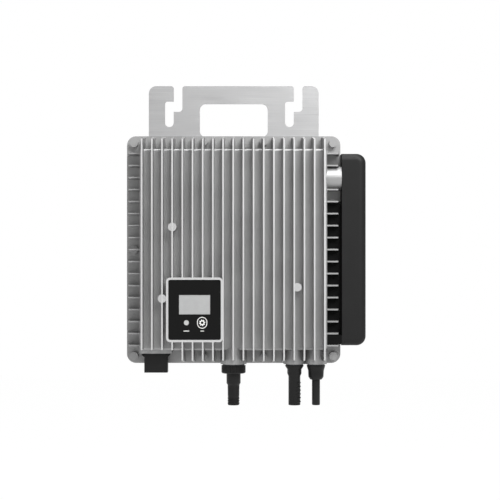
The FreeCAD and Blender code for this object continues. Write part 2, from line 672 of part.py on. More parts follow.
def edge_spots(level):
    """The two screws along the top (level 1) or the bottom (level -1) edge."""
    return [(f"{sx} * edge_screw_fins * {FIN_PITCH}", f"{MID} + {level} * (flange_tall / 2 - edge_inset)")
            for sx in (-1, 1)]


def side_spot(side):
    return (f"{side} * (flange_wide / 2 - corner_inset)", MID)


def lower_bracket_spots():
    return [(f"{sx} * bracket_screw_fins * {FIN_PITCH}", f"{TOP} - bracket_screw_drop") for sx in (-1, 1)]


def board_spots():
    across, up = f"({BOARD_WIDE} / 2 - post_inset)", f"({BOARD_TALL} / 2 - post_inset)"
    return [(f"{sx} * {across}", f"{BOARD_Z} + {sz} * {up}") for sx in (-1, 1) for sz in (-1, 1)]


def circles(spots, radius):
    return [("circle", x, z, radius) for x, z in spots]


def arch(middle, depth, radius, swap=False):
    """A round-fronted boss that runs back into the flange, seen along its axis."""
    front, root, corner = f"-({depth} + {radius})", f"-({FLANGE} - overlap)", f"{radius} - crown / 2"
    corners = [(f"{middle} - {radius}", root, None), (f"{middle} - {radius}", front, corner),
               (f"{middle} + {radius}", front, corner), (f"{middle} + {radius}", root, None)]
    return [(y, x, c) for x, y, c in corners] if swap else corners


def fin_pack():
    """All the fins, cut to their sloping ends and cleared of every hollow and hole in the casting."""
    body = new_body("fin_pack")
    root = f"-({SEAT} + flange_sheet / 2)"
    outline = [(root, f"{LOWEST_SIDE_FIN} - side_fin_root / 2"),
               (f"-{SIDE_TIP}", f"{LOWEST_SIDE_FIN} - side_fin_tip / 2"),
               (f"-{SIDE_TIP}", f"{LOWEST_SIDE_FIN} + side_fin_tip / 2"),
               (root, f"{LOWEST_SIDE_FIN} + side_fin_root / 2")]
    inner = f"({BLOCK_SIDE} - wall / 2)"
    reach = f"(flange_wide / 2 - fin_end_gap - {inner})"
    right = pad(body, "right_fin", "YZ_Plane", [outline], inner, reach)
    left = pad(body, "left_fin", "YZ_Plane", [outline], f"-{inner}", reach, backwards=True)
    pattern(body, "side_fin_rows", [right, left], "Z_Axis", SIDE_FIN_PITCH, "side_fin_count")
    ends = []
    for side in (-1, 1):
        foot = f"{side} * (flange_wide / 2 - fin_end_gap)"
        past = f"{side} * (flange_wide / 2 + overlap)"
        ends.append([(foot, f"-{FLANGE}"), (f"{foot} - {side} * side_fin_lean", f"-{FACE}"),
                     (past, f"-{FACE}"), (past, f"-{FLANGE}")])
    pocket(body, "side_fin_ends", "XY_Plane", ends, MID, "flange_tall", both=True)
    notch = span_loop(BLOCK_SIDE, "flange_wide / 2 + overlap", f"{LOWEST_SIDE_FIN} + side_fin_root / 2",
                      f"{LOWEST_SIDE_FIN} + tongue_fins * {SIDE_FIN_PITCH} - side_fin_root / 2")
    pocket(body, "tongue_notch", "XZ_Plane", [notch], FLANGE, "tongue_deep + box_seam", backwards=True)
    feed = ("circle", f"-{PLUG_DEPTH}", FEED_Z, "feed_bore_radius + fin_clearing")
    pocket(body, "feed_clearing", "YZ_Plane", [feed], inner, f"{reach} + overlap", backwards=True)

    outline = [(f"{FIRST_FIN} - fin_root / 2", root), (f"{FIRST_FIN} - fin_tip / 2", f"-{TIP}"),
               (f"{FIRST_FIN} + fin_tip / 2", f"-{TIP}"), (f"{FIRST_FIN} + fin_root / 2", root)]
    first = pad(body, "fin", "XY_Plane", [outline], f"{BOTTOM} + fin_end_gap", "flange_tall - 2 * fin_end_gap")
    pattern(body, "fin_row", [first], "X_Axis", FIN_PITCH, "fin_count")
    core = box_loop("0", MID, f"{BLOCK_WIDE} - wall", f"{BLOCK_TALL} - wall")
    pocket(body, "fin_core", "XZ_Plane", [core], "0", f"{FACE} - wall / 2", backwards=True)
    ends = []
    for level in (-1, 1):
        foot = f"{MID} + {level} * (flange_tall / 2 - fin_end_gap)"
        past = f"{MID} + {level} * (flange_tall / 2 + overlap)"
        front = f"-({TIP} + overlap)"
        ends.append([(f"-{FLANGE}", foot), (front, f"{foot} - {level} * fin_end_lean"),
                     (front, past), (f"-{FLANGE}", past)])
    pocket(body, "fin_ends", "YZ_Plane", ends, "0", "flange_wide + 2 * overlap", both=True)
    port = span_loop(f"-{BLOCK_SIDE} - overlap", f"{FIRST_FIN} + (comm_fins - 0.5) * {FIN_PITCH}",
                     f"{BOTTOM} - overlap", f"{BLOCK_BOTTOM} + wall / 2")
    pocket(body, "port_clearing", "XZ_Plane", [port], FLANGE, "block_proud + fin_height + overlap",
           backwards=True)
    panel = box_loop(DISPLAY_X, DISPLAY_Z, "display_wide - overlap", "display_tall - overlap")
    pocket(body, "display_clearing", "XZ_Plane", [panel], ROOF, "wall + fin_height + overlap", backwards=True)
    bores = [("circle", x, f"-{PLUG_DEPTH}", f"{radius} + fin_clearing") for x, radius in PLUG_BORES]
    pocket(body, "bore_clearing", "XY_Plane", bores, BOTTOM, SPOUT, backwards=True)
    taps = edge_spots(1) + edge_spots(-1) + [side_spot(-1), side_spot(1)]
    pocket(body, "tap_clearing", "XZ_Plane", circles(taps, "tap_radius + fin_clearing"), SEAT,
           "tap_depth + fin_clearing", backwards=True)
    return body


def housing():
    """The die-cast front housing: flange, raised block, fins, bosses, display frame and cavity."""
    body = new_subpart("housing")
    pad(body, "flange", "XZ_Plane", [box_loop("0", MID, "flange_wide", "flange_tall", "flange_corner")],
        SEAT, "flange_sheet")
    pad(body, "block", "XZ_Plane", [box_loop("0", MID, BLOCK_WIDE, BLOCK_TALL, "block_corner")],
        SEAT, "flange_sheet + block_proud")
    round_edges(body, "block_rounding", "block_edge", flat_at_depth(FACE))
    pad(body, "display_frame", "XZ_Plane",
        [box_loop(DISPLAY_X, DISPLAY_Z, "display_wide", "display_tall", "display_corner")],
        f"{FACE} - overlap", "fin_height + overlap")
    ejectors = [(f"{FIRST_FIN} + upper_ejector_fin * {FIN_PITCH}", f"{MID} + upper_ejector_rise"),
                (f"{FIRST_FIN} + lower_ejector_fin * {FIN_PITCH}", f"{MID} - lower_ejector_drop"),
                (f"{FIRST_FIN} + right_ejector_fin * {FIN_PITCH} + right_ejector_shift",
                 f"{MID} - right_ejector_drop")]
    pad(body, "ejector_pads", "XZ_Plane", circles(ejectors, "ejector_radius"), f"{FACE} - overlap",
        "fin_height + overlap - ejector_sink")
    bosses = corner_spots() + edge_spots(1) + edge_spots(-1) + [side_spot(-1)]
    pad(body, "screw_bosses", "XZ_Plane", circles(bosses, "boss_radius"), f"{FLANGE} - overlap",
        "boss_height + overlap")
    spouts = (("ac", "0", "ac_boss_radius"), ("dc_plus", DC_PLUS_X, "dc_boss_radius"),
              ("dc_minus", DC_MINUS_X, "dc_boss_radius"))
    for name, x, radius in spouts:
        pad(body, name + "_spout", "XY_Plane", [arch(x, PLUG_DEPTH, radius)], BOTTOM, SPOUT)
    pad(body, "feed_boss", "YZ_Plane", [arch(FEED_Z, PLUG_DEPTH, "feed_boss_radius", swap=True)],
        f"{BLOCK_SIDE} - wall", SPOUT)
    lip = span_loop(f"{COMM_X} - comm_boss_wide / 2", f"{COMM_X} + comm_boss_wide / 2", COMM_EDGE,
                    f"{BLOCK_BOTTOM} + wall")
    pad(body, "port_boss", "XZ_Plane", [lip], f"{FLANGE} - overlap", "block_proud - comm_boss_sink + overlap")

    pocket(body, "cavity", "XZ_Plane", [box_loop("0", MID, CAVITY_WIDE, CAVITY_TALL, "cavity_corner")],
           SEAT, "flange_sheet + block_proud - wall", backwards=True)
    pad(body, "board_posts", "XZ_Plane", circles(board_spots(), "post_radius"), BOARD_FRONT,
        f"{HEADROOM} + overlap")
    pad(body, "bracket_posts", "XZ_Plane", circles(lower_bracket_spots(), "boss_radius"), SEAT,
        f"{ROOF} - {SEAT} + overlap")

    recess = box_loop(DISPLAY_X, DISPLAY_Z, *DISPLAY_INSIDE, "display_corner - display_rim")
    pocket(body, "overlay_recess", "XZ_Plane", [recess], TIP, "display_recess + overlay_thick")
    inside = [f"{t} - 2 * display_ledge" for t in DISPLAY_INSIDE]
    pocket(body, "display_hole", "XZ_Plane", [box_loop(DISPLAY_X, DISPLAY_Z, *inside)], OVERLAY_BACK,
           f"{OVERLAY_BACK} - {ROOF} + overlap")
    inside = [f"{t} + 2 * display_board_lap + 2 * display_board_gap" for t in inside]
    pocket(body, "display_board_seat", "XZ_Plane", [box_loop(DISPLAY_X, DISPLAY_Z, *inside)],
           f"{ROOF} - overlap", f"{SCREEN_BACK} - {ROOF} + overlap", backwards=True)
    pocket(body, "gasket_groove", "XZ_Plane", groove_loops(), SEAT, "groove_deep", backwards=True)
    pocket(body, "post_holes", "XZ_Plane", circles(board_spots(), "post_tap_radius"), BOARD_FRONT,
           "post_tap_deep", backwards=True)

    bores = [("circle", x, f"-{PLUG_DEPTH}", radius) for x, radius in PLUG_BORES]
    pocket(body, "connector_bores", "XY_Plane", bores, BOTTOM, f"{SPOUT} + overlap", backwards=True)
    feed = ("circle", f"-{PLUG_DEPTH}", FEED_Z, "feed_bore_radius")
    pocket(body, "feed_bore", "YZ_Plane", [feed], f"{BLOCK_SIDE} - wall - overlap", f"{SPOUT} + 2 * overlap",
           backwards=True)
    hole = box_loop(COMM_X, f"-{COMM_DEPTH}", "comm_hole_wide", "comm_hole_thick", "comm_hole_corner")
    pocket(body, "port_hole", "XY_Plane", [hole], COMM_EDGE, "comm_boss_tall + wall + overlap", backwards=True)
    pocket(body, "tapped_holes", "XZ_Plane", circles(bosses + lower_bracket_spots(), "tap_radius"), SEAT,
           "tap_depth", backwards=True)
    pocket(body, "tongue_screw_hole", "XZ_Plane", circles([side_spot(1)], "screw_radius + screw_clear"), SEAT,
           "flange_sheet + overlap", backwards=True)
    joined = body.newObject("PartDesign::Boolean", "fins_joined")
    joined.setObjects([fin_pack()])
    joined.Type = "Fuse"


def groove_loops():
    """The gasket's track around the cavity, on the back of the flange."""
    inner = [f"{t} + 2 * groove_inset" for t in (CAVITY_WIDE, CAVITY_TALL)]
    outer = [f"{t} + 2 * groove_wide" for t in inner]
    return [box_loop("0", MID, *outer, "cavity_corner + groove_inset + groove_wide"),
            box_loop("0", MID, *inner, "cavity_corner + groove_inset")]


def rear_cover():
    """The sheet that closes the housing, with a clearance hole for every screw."""
    body = new_subpart("rear_cover")
    pad(body, "cover_plate", "XZ_Plane", [box_loop("0", MID, "flange_wide", "flange_tall", "flange_corner")],
        "bracket_sheet", "cover_sheet")
    spots = corner_spots() + edge_spots(1) + edge_spots(-1) + [side_spot(-1), side_spot(1)]
    spots += lower_bracket_spots()
    pocket(body, "cover_holes", "XZ_Plane", circles(spots, "screw_radius + screw_clear"), "bracket_sheet",
           "cover_sheet", backwards=True)


def cover_gasket():
    """The silicone ring in the flange's groove, squeezed level with the flange."""
    pad(new_subpart("cover_gasket"), "gasket_ring", "XZ_Plane", groove_loops(), SEAT, "groove_deep")


def bracket():
    """The laser-cut hanging bracket: two hook slots, a carrying handle and four countersunk holes."""
    body = new_subpart("hanging_bracket")
    plate = span_loop("-bracket_wide / 2", "bracket_wide / 2", f"{TOP} - bracket_lap", "bracket_rise",
                      "bracket_corner")
    pad(body, "bracket_plate", "XZ_Plane", [plate], "0", "bracket_sheet")
    handle = span_loop("-handle_wide / 2", "handle_wide / 2", f"{TOP} - handle_lap", "handle_top",
                       "handle_corner")
    pocket(body, "handle_hole", "XZ_Plane", [handle], "0", "bracket_sheet", backwards=True)
    past = "bracket_rise + overlap"
    slots, seats, mouths = [], [], []
    for side in (-1, 1):
        middle = f"{side} * hook_pitch / 2"
        left, right = f"{middle} - hook_wide", f"{middle} + hook_wide"
        seats.append((f"{middle} - hook_wide / 2", "0"))
        mouths += [value(middle), value(right)]
        slots.append([(left, "0"), (middle, "0"), (middle, "hook_step"),
                      (right, "hook_step", "hook_entry_corner"), (right, past), (middle, past),
                      (middle, "hook_shelf"), (left, "hook_shelf", "hook_mouth_corner")])
    pocket(body, "hook_slots", "XZ_Plane", slots, "0", "bracket_sheet", backwards=True)
    pocket(body, "hook_seats", "XZ_Plane", circles(seats, "hook_wide / 2"), "0", "bracket_sheet",
           backwards=True)
    round_edges(body, "mouth_rounding", "hook_mouth_corner", lambda edge: edge.BoundBox.DiagonalLength
                < value("bracket_sheet") + CLOSE and abs(edge.BoundBox.ZMax - value("bracket_rise")) < CLOSE
                and any(abs(edge.BoundBox.XMax - x) < CLOSE for x in mouths))
    holes = edge_spots(1) + lower_bracket_spots()
    pocket(body, "bracket_holes", "XZ_Plane", circles(holes, "screw_radius + screw_clear"), "0",
           "bracket_sheet", backwards=True)
    for number, (x, z) in enumerate(holes):
        sink = body.newObject("PartDesign::SubtractiveCone", f"countersink_{number}")
        bind(sink, "Radius1", "sink_head_radius + sink_gap")
        bind(sink, "Radius2", "screw_radius + screw_clear")
        bind(sink, "Height", "sink_head_height")
        sink.AttachmentSupport = [(origin(body, "XZ_Plane"), "")]
        sink.MapMode = "FlatFace"
        bind(sink, "AttachmentOffset.Base.x", x)
        bind(sink, "AttachmentOffset.Base.y", z)


def plain_screw(x, z, seat, radius, grip, head_radius, head_height):
    """A screw with a flat round head behind its seat, and its shank in front of it."""
    head = solid_rod(head_radius, x, seat, z, head_height, BACKWARD)
    return head.fuse(solid_rod(radius, x, seat, z, grip, FORWARD)).removeSplitter()


def socket_screw(x, z):
    """A cover screw: a round-edged head with a hexagon socket."""
    screw = plain_screw(x, z, "bracket_sheet", "screw_radius", "cover_sheet + screw_grip", "screw_head_radius",
                        "screw_head_height")
    top = value("screw_head_height - bracket_sheet")
    rim = [edge for edge in screw.Edges if abs(edge.BoundBox.YMin - top) < CLOSE]
    screw = screw.makeFillet(value("screw_head_edge"), rim)
    centre = Vec(value(x), top - value("socket_deep"), value(z))
    arm = Vec(value("socket_radius"), 0, 0)
    corners = [centre + FreeCAD.Rotation(BACKWARD, 60 * i).multVec(arm) for i in range(6)]
    socket = Part.Face(Part.makePolygon(corners + corners[:1]))
    return screw.cut(socket.extrude(BACKWARD * value("socket_deep + overlap")))


def sunk_screw(x, z):
    """A bracket screw: a countersunk head with a cross recess."""
    at = Vec(value(x), 0, value(z))
    radii = value("sink_head_radius"), value("screw_radius")
    head = Part.makeCone(*radii, value("sink_head_height"), at, FORWARD)
    shank = solid_rod("screw_radius", x, "0", z, f"{SEAT} + screw_grip", FORWARD)
    across, up = [solid_box(f"{x} - {wide} / 2", f"{x} + {wide} / 2", "0", "cross_deep",
                            f"{z} - {tall} / 2", f"{z} + {tall} / 2")
                  for wide, tall in (("cross_long", "cross_wide"), ("cross_wide", "cross_long"))]
    return head.fuse(shank).cut(across.fuse(up)).removeSplitter()


def screws():
    """The screws of the rear cover, the bracket and the main board."""
    spots = corner_spots() + edge_spots(-1) + [side_spot(-1), side_spot(1)]
    group("cover_screws", [socket_screw(x, z) for x, z in spots])
    group("bracket_screws", [sunk_screw(x, z) for x, z in edge_spots(1) + lower_bracket_spots()])
    group("board_screws", [plain_screw(x, z, BOARD_REAR, "board_screw_radius", "board_sheet + board_screw_grip",
                                       "board_head_radius", "board_head_height") for x, z in board_spots()])


def display():
    """Everything in the display frame: overlay, window, screen, board, lamp, button and its switch."""
    control = f"{DISPLAY_Z} - control_drop"
    button_x, lamp_x = f"{DISPLAY_X} + button_shift", f"{DISPLAY_X} - lamp_shift"
    window = (DISPLAY_X, f"{DISPLAY_Z} + window_rise")
    overlay = new_subpart("display_overlay")
    sheet_size = [f"{t} - 2 * overlay_gap" for t in DISPLAY_INSIDE]
    pad(overlay, "overlay_plate", "XZ_Plane",
        [box_loop(DISPLAY_X, DISPLAY_Z, *sheet_size, "display_corner - display_rim - overlay_gap"),
         box_loop(*window, "window_wide", "window_tall"), ("circle", lamp_x, control, "lamp_radius"),
         box_loop(button_x, control, "button_wide", "button_tall", "(button_wide - crown) / 2")],
        OVERLAY_BACK, "overlay_thick")
    pane = new_subpart("display_window")
    pane_size = [f"{t} - 2 * pane_gap" for t in ("window_wide", "window_tall")]
    pad(pane, "pane", "XZ_Plane", [box_loop(*window, *pane_size)], OVERLAY_BACK, "overlay_thick - pane_sink")
    screen = new_subpart("display_screen")
    half = "(window_wide / 2 + screen_side)"
    case = span_loop(f"{window[0]} - {half}", f"{window[0]} + {half}",
                     f"{window[1]} - window_tall / 2 - screen_foot",
                     f"{window[1]} + window_tall / 2 + screen_head")
    pad(screen, "screen_case", "XZ_Plane", [case], SCREEN_BACK, "screen_thick")
    board = new_subpart("display_board")
    inside = [f"{t} - 2 * display_ledge + 2 * display_board_lap" for t in DISPLAY_INSIDE]
    pad(board, "board_plate", "XZ_Plane", [box_loop(DISPLAY_X, DISPLAY_Z, *inside)],
        f"{SCREEN_BACK} - board_sheet", "board_sheet")
    lamp = new_subpart("status_lamp")
    pad(lamp, "lamp_pipe", "XZ_Plane", [("circle", lamp_x, control, "lamp_radius - lamp_gap")], SCREEN_BACK,
        "screen_thick + overlay_thick - lamp_sink")

    button = new_subpart("set_button")
    flange_front = f"({OVERLAY_BACK} - button_gap)"
    face = ("button_wide - 2 * button_gap", "button_tall - 2 * button_gap")
    face = box_loop(button_x, control, *face, "(button_wide - crown) / 2 - button_gap")
    pad(button, "button_face", "XZ_Plane", [face], flange_front, "overlay_thick + button_proud + button_gap")
    round_edges(button, "button_rounding", "button_edge", flat_at_depth(f"{OVERLAY_FRONT} + button_proud"))
    rim = ("button_wide + 2 * button_flange", "button_tall + 2 * button_flange", "button_wide / 2")
    pad(button, "button_flange", "XZ_Plane", [box_loop(button_x, control, *rim)],
        f"{flange_front} - button_flange_thick", "button_flange_thick")
    stem_end = f"({SCREEN_BACK} + switch_tall - stem_sink)"
    pad(button, "button_stem", "XZ_Plane", [("circle", button_x, control, "stem_radius")], stem_end,
        f"{flange_front} - button_flange_thick / 2 - {stem_end}")

    switch = new_subpart("button_switch")
    case = box_loop(button_x, control, "switch_wide", "switch_wide", "switch_corner")
    pad(switch, "switch_case", "XZ_Plane", [case], SCREEN_BACK, "switch_tall")
    pocket(switch, "switch_well", "XZ_Plane", [("circle", button_x, control, "switch_well_radius")],
           f"{SCREEN_BACK} + switch_tall", "switch_well_deep")

    header_low = f"{DISPLAY_Z} + header_rise"
    sides = (f"{DISPLAY_X} - header_wide / 2", f"{DISPLAY_X} + header_wide / 2")
    subparts.append(brick("display_header", *sides, BOARD_FRONT, f"{SCREEN_BACK} - board_sheet", header_low,
                          f"{header_low} + header_thick"))


def data_port():
    """The data port's socket and contacts, its flat seal and the push-on cap that covers it."""
    middle = (COMM_X, f"-{COMM_DEPTH}")
    socket = new_subpart("port_socket")
    core = box_loop(*middle, "comm_hole_wide - 2 * comm_gap", "comm_hole_thick - 2 * comm_gap",
                    "comm_hole_corner - comm_gap")
    pad(socket, "socket_core", "XY_Plane", [core], f"{COMM_EDGE} - comm_spigot",
        "comm_spigot + comm_boss_tall + wall + comm_collar_thick")
    collar = box_loop(*middle, "comm_hole_wide + 2 * comm_collar_lap", "comm_hole_thick + 2 * comm_collar_lap",
                      "comm_hole_corner + comm_collar_lap")
    pad(socket, "socket_collar", "XY_Plane", [collar], f"{BLOCK_BOTTOM} + wall", "comm_collar_thick")
    mouth = box_loop(*middle, "comm_mouth_wide", "comm_mouth_thick", "comm_mouth_corner")
    pocket(socket, "socket_mouth", "XY_Plane", [mouth], f"{COMM_EDGE} - comm_spigot",
           "comm_spigot - comm_floor", backwards=True)
    pins = []
    for x in row(f"{COMM_X} - (comm_pin_count - 1) / 2 * comm_pin_pitch", "comm_pin_pitch", "comm_pin_count"):
        pins.append(solid_box(f"{x} - comm_pin_wide / 2", f"{x} + comm_pin_wide / 2",
                              f"{COMM_DEPTH} - comm_pin_thick / 2", f"{COMM_DEPTH} + comm_pin_thick / 2",
                              f"{COMM_EDGE} - comm_floor - comm_pin_long", f"{COMM_EDGE} - comm_floor"))
    group("port_contacts", pins)

    seal = new_subpart("port_seal")
    outside = ("comm_hole_wide + 2 * comm_seal_lap", "comm_hole_thick + 2 * comm_seal_lap")
    pad(seal, "seal_ring", "XY_Plane",
        [box_loop(*middle, *outside, "comm_hole_corner + comm_seal_lap"),
         box_loop(*middle, "comm_hole_wide", "comm_hole_thick", "comm_hole_corner")],
        f"{COMM_EDGE} - comm_seal", "comm_seal")

    cap = new_subpart("port_cap")
    top = f"({COMM_EDGE} - comm_seal)"
    sleeve = box_loop(*middle, "comm_cap_wide", "comm_cap_thick", "comm_cap_corner")
    pad(cap, "cap_sleeve", "XY_Plane", [sleeve], f"{COMM_EDGE} - comm_cap_long", "comm_cap_long - comm_seal")
    lip = []
    for side in (1, -1):
        wall_x = f"{COMM_X} + {side} * comm_cap_wide / 2"
        lip_x = f"{wall_x} + {side} * comm_lip"
        lip += [(wall_x, f"{top} - comm_lip_tall"), (lip_x, f"{top} - comm_lip_edge"), (lip_x, top)][::side]
    pad(cap, "cap_lip", "XZ_Plane", [lip], f"{COMM_DEPTH} - comm_cap_thick / 2", "comm_cap_thick")
    hollow = box_loop(*middle, "comm_hole_wide + 2 * comm_gap", "comm_hole_thick + 2 * comm_gap",
                      "comm_hole_corner + comm_gap")
    pocket(cap, "cap_hollow", "XY_Plane", [hollow], top, "comm_cap_long - comm_seal - comm_cap_floor")


def ac_connector():
    """The mains connector: receptacle, lock ring, ribbed sleeve, seal and three contacts."""
    place = ("0", PLUG_DEPTH, BOTTOM)
    shank, thread = "ac_bore_radius - plug_clear", "ac_thread_radius - ac_thread_gap"
    thread_end, block_end = "-seal_thick - ac_thread_long", "-seal_thick - ac_block_sink"
    turned("ac_receptacle", *place, [
        ("ac_block_radius", PLUG_TOP), ("ac_block_radius", thread_end), (thread, thread_end),
        (thread, "-seal_thick"), (shank, "-seal_thick"), (shank, PLUG_TOP)])
    turned("ac_contact_block", *place, [
        ("0", f"{PLUG_TOP} - ac_block_sink"), ("0", block_end), ("ac_block_radius", block_end),
        ("ac_block_radius", f"{PLUG_TOP} - ac_block_sink")])
    seal_edge = "ac_thread_radius + ac_seal_lap"
    turned("ac_seal", *place, [(shank, "-seal_thick"), (seal_edge, "-seal_thick"), (seal_edge, "0"),
                               (shank, "0")])

    ring_top, ring_floor = "-seal_thick - ac_ring_gap", "-ac_ring_long + ac_ring_floor"
    ring_bore = "ac_sleeve_radius + ac_ring_gap"
    ring = turned("ac_lock_ring", *place, [
        ("ac_thread_radius", ring_top), ("ac_thread_radius", ring_floor), (ring_bore, ring_floor),
        (ring_bore, "-ac_ring_long"), ("ac_ring_radius - ac_ring_edge", "-ac_ring_long"),
        ("ac_ring_radius", "-ac_ring_long + ac_ring_edge"), ("ac_ring_radius", ring_top)])
    flute = pocket(ring, "flute", "XY_Plane",
                   [("circle", "ac_ring_radius + ac_flute_shift", "0", "ac_flute_radius")],
                   "-seal_thick", "ac_ring_long - seal_thick - ac_ring_floor")
    around(ring, flute, "ac_flute_count")

    tail = "ac_tail_radius - ac_rib_height"
    sleeve = [("ac_cable_radius", thread_end), ("ac_cable_radius", "-plug_long"), (tail, "-plug_long")]
    for foot in row("-plug_long + ac_rib_start", "ac_rib_pitch", "ac_rib_count"):
        sleeve += [(tail, foot), ("ac_tail_radius", f"{foot} + ac_rib_slope"),
                   ("ac_tail_radius", f"{foot} + ac_rib_wide - ac_rib_slope"), (tail, f"{foot} + ac_rib_wide")]
    sleeve += [("ac_tail_radius - ac_grip_sink", "-plug_long + ac_grip_long"),
               ("ac_tail_radius", "-ac_taper_end"),
               ("ac_sleeve_radius", "-ac_taper_end + ac_taper_long"), ("ac_sleeve_radius", ring_floor),
               (thread, ring_floor), (thread, thread_end)]
    turned("ac_sleeve", *place, sleeve)

    pins = []
    for i in range(SIZES["ac_contact_count"]):
        arm = FreeCAD.Rotation(UP, 360 / SIZES["ac_contact_count"] * i).multVec(FORWARD)
        foot = Vec(0, -value(PLUG_DEPTH), value(f"{BOTTOM} - seal_thick - ac_block_sink"))
        pins.append(Part.makeCylinder(value("ac_contact_radius"), value("ac_contact_long"),
                                      foot + arm * value("ac_contact_circle"), DOWN))
    group("ac_contacts", pins)


def dc_connectors():
    """The solar connectors: a ribbed sleeve around a pin, and a slim nose around a tube."""
    plus, minus = (DC_PLUS_X, PLUG_DEPTH, BOTTOM), (DC_MINUS_X, PLUG_DEPTH, BOTTOM)
    shank = "dc_bore_radius - plug_clear"
    inner_end = f"{PLUG_TOP} + contact_proud"
    collar = [("dc_collar_radius", "-seal_thick - dc_collar_thick"), ("dc_collar_radius", "-seal_thick"),
              (shank, "-seal_thick"), (shank, PLUG_TOP)]
    mouth = "-plug_long + dc_plus_mouth_deep"
    body = turned("dc_plus_body", *plus, [
        ("dc_pin_radius", PLUG_TOP), ("dc_pin_radius", mouth), ("dc_plus_mouth_radius", mouth),
        ("dc_plus_mouth_radius", "-plug_long"), ("dc_plus_radius", "-plug_long"),
        ("dc_plus_radius", "-dc_plus_sleeve_top"), ("dc_plus_neck_radius", "-dc_plus_neck_end"),
        ("dc_plus_neck_radius", "-dc_plus_neck_top"), *collar])
    foot, crest = "-plug_long + dc_rib_start", "dc_plus_radius + dc_rib_height"
    rib = body.newObject("PartDesign::Revolution", "rib")
    rib.Profile = draw(body, "rib_profile", "XZ_Plane", [[
        ("dc_plus_radius - overlap / 2", foot), ("dc_plus_radius", foot),
        (crest, f"{foot} + (dc_rib_wide - dc_rib_crest) / 2"),
        (crest, f"{foot} + (dc_rib_wide + dc_rib_crest) / 2"), ("dc_plus_radius", f"{foot} + dc_rib_wide"),
        ("dc_plus_radius - overlap / 2", f"{foot} + dc_rib_wide")]])
    rib.ReferenceAxis = (rib.Profile[0], ["V_Axis"])
    bind(rib, "Angle", "dc_rib_turn")
    rib.Midplane = True
    pattern(body, "rib_row", [rib], "Z_Axis", "dc_rib_pitch", "dc_rib_count")
    tip = "-plug_long + dc_pin_sink"
    turned("dc_plus_pin", *plus, [
        ("0", inner_end), ("0", tip), ("dc_pin_tip_radius", tip), ("dc_pin_radius", f"{tip} + dc_pin_chamfer"),
        ("dc_pin_radius", inner_end)])

    tube_end = "-plug_long + dc_tube_sink"
    turned("dc_minus_body", *minus, [
        ("dc_tube_radius", PLUG_TOP), ("dc_tube_radius", tube_end), ("dc_minus_bore_radius", tube_end),
        ("dc_minus_bore_radius", "-plug_long"), ("dc_minus_radius - dc_minus_chamfer / 2", "-plug_long"),
        ("dc_minus_radius", "-plug_long + dc_minus_chamfer"), ("dc_minus_radius", "-dc_minus_nose_top"),
        ("dc_minus_shoulder_radius", "-dc_minus_nose_top"), ("dc_minus_neck_radius", "-dc_minus_neck_end"),
        ("dc_minus_neck_radius + dc_minus_flare", "-dc_minus_waist"), *collar])
    turned("dc_minus_tube", *minus, [
        ("dc_pin_radius", f"{tube_end} + dc_tube_deep"), ("0", f"{tube_end} + dc_tube_deep"), ("0", inner_end),
        ("dc_tube_radius", inner_end), ("dc_tube_radius", tube_end), ("dc_pin_radius", tube_end)])
    seal_edge, flat = "dc_collar_radius - dc_seal_sink", f"dc_nut_radius * {COS_30}"
    for name, place in (("dc_plus", plus), ("dc_minus", minus)):
        turned(name + "_seal", *place, [(shank, "-seal_thick"), (seal_edge, "-seal_thick"), (seal_edge, "0"),
                                        (shank, "0")])
        nut = new_subpart(name + "_nut")
        hexagon = [("0", "dc_nut_radius"), (f"-{flat}", "dc_nut_radius / 2"),
                   (f"-{flat}", "-dc_nut_radius / 2"), ("0", "-dc_nut_radius"),
                   (flat, "-dc_nut_radius / 2"), (flat, "dc_nut_radius / 2")]
        pad(nut, name + "_hexagon", "XY_Plane", [hexagon, ("circle", "0", "0", shank)], "0", "dc_nut_long")
        bind(nut, "Placement.Base.x", place[0])
        bind(nut, "Placement.Base.y", f"-{PLUG_DEPTH}")
        bind(nut, "Placement.Base.z", f"{BOTTOM} + {SPOUT}")


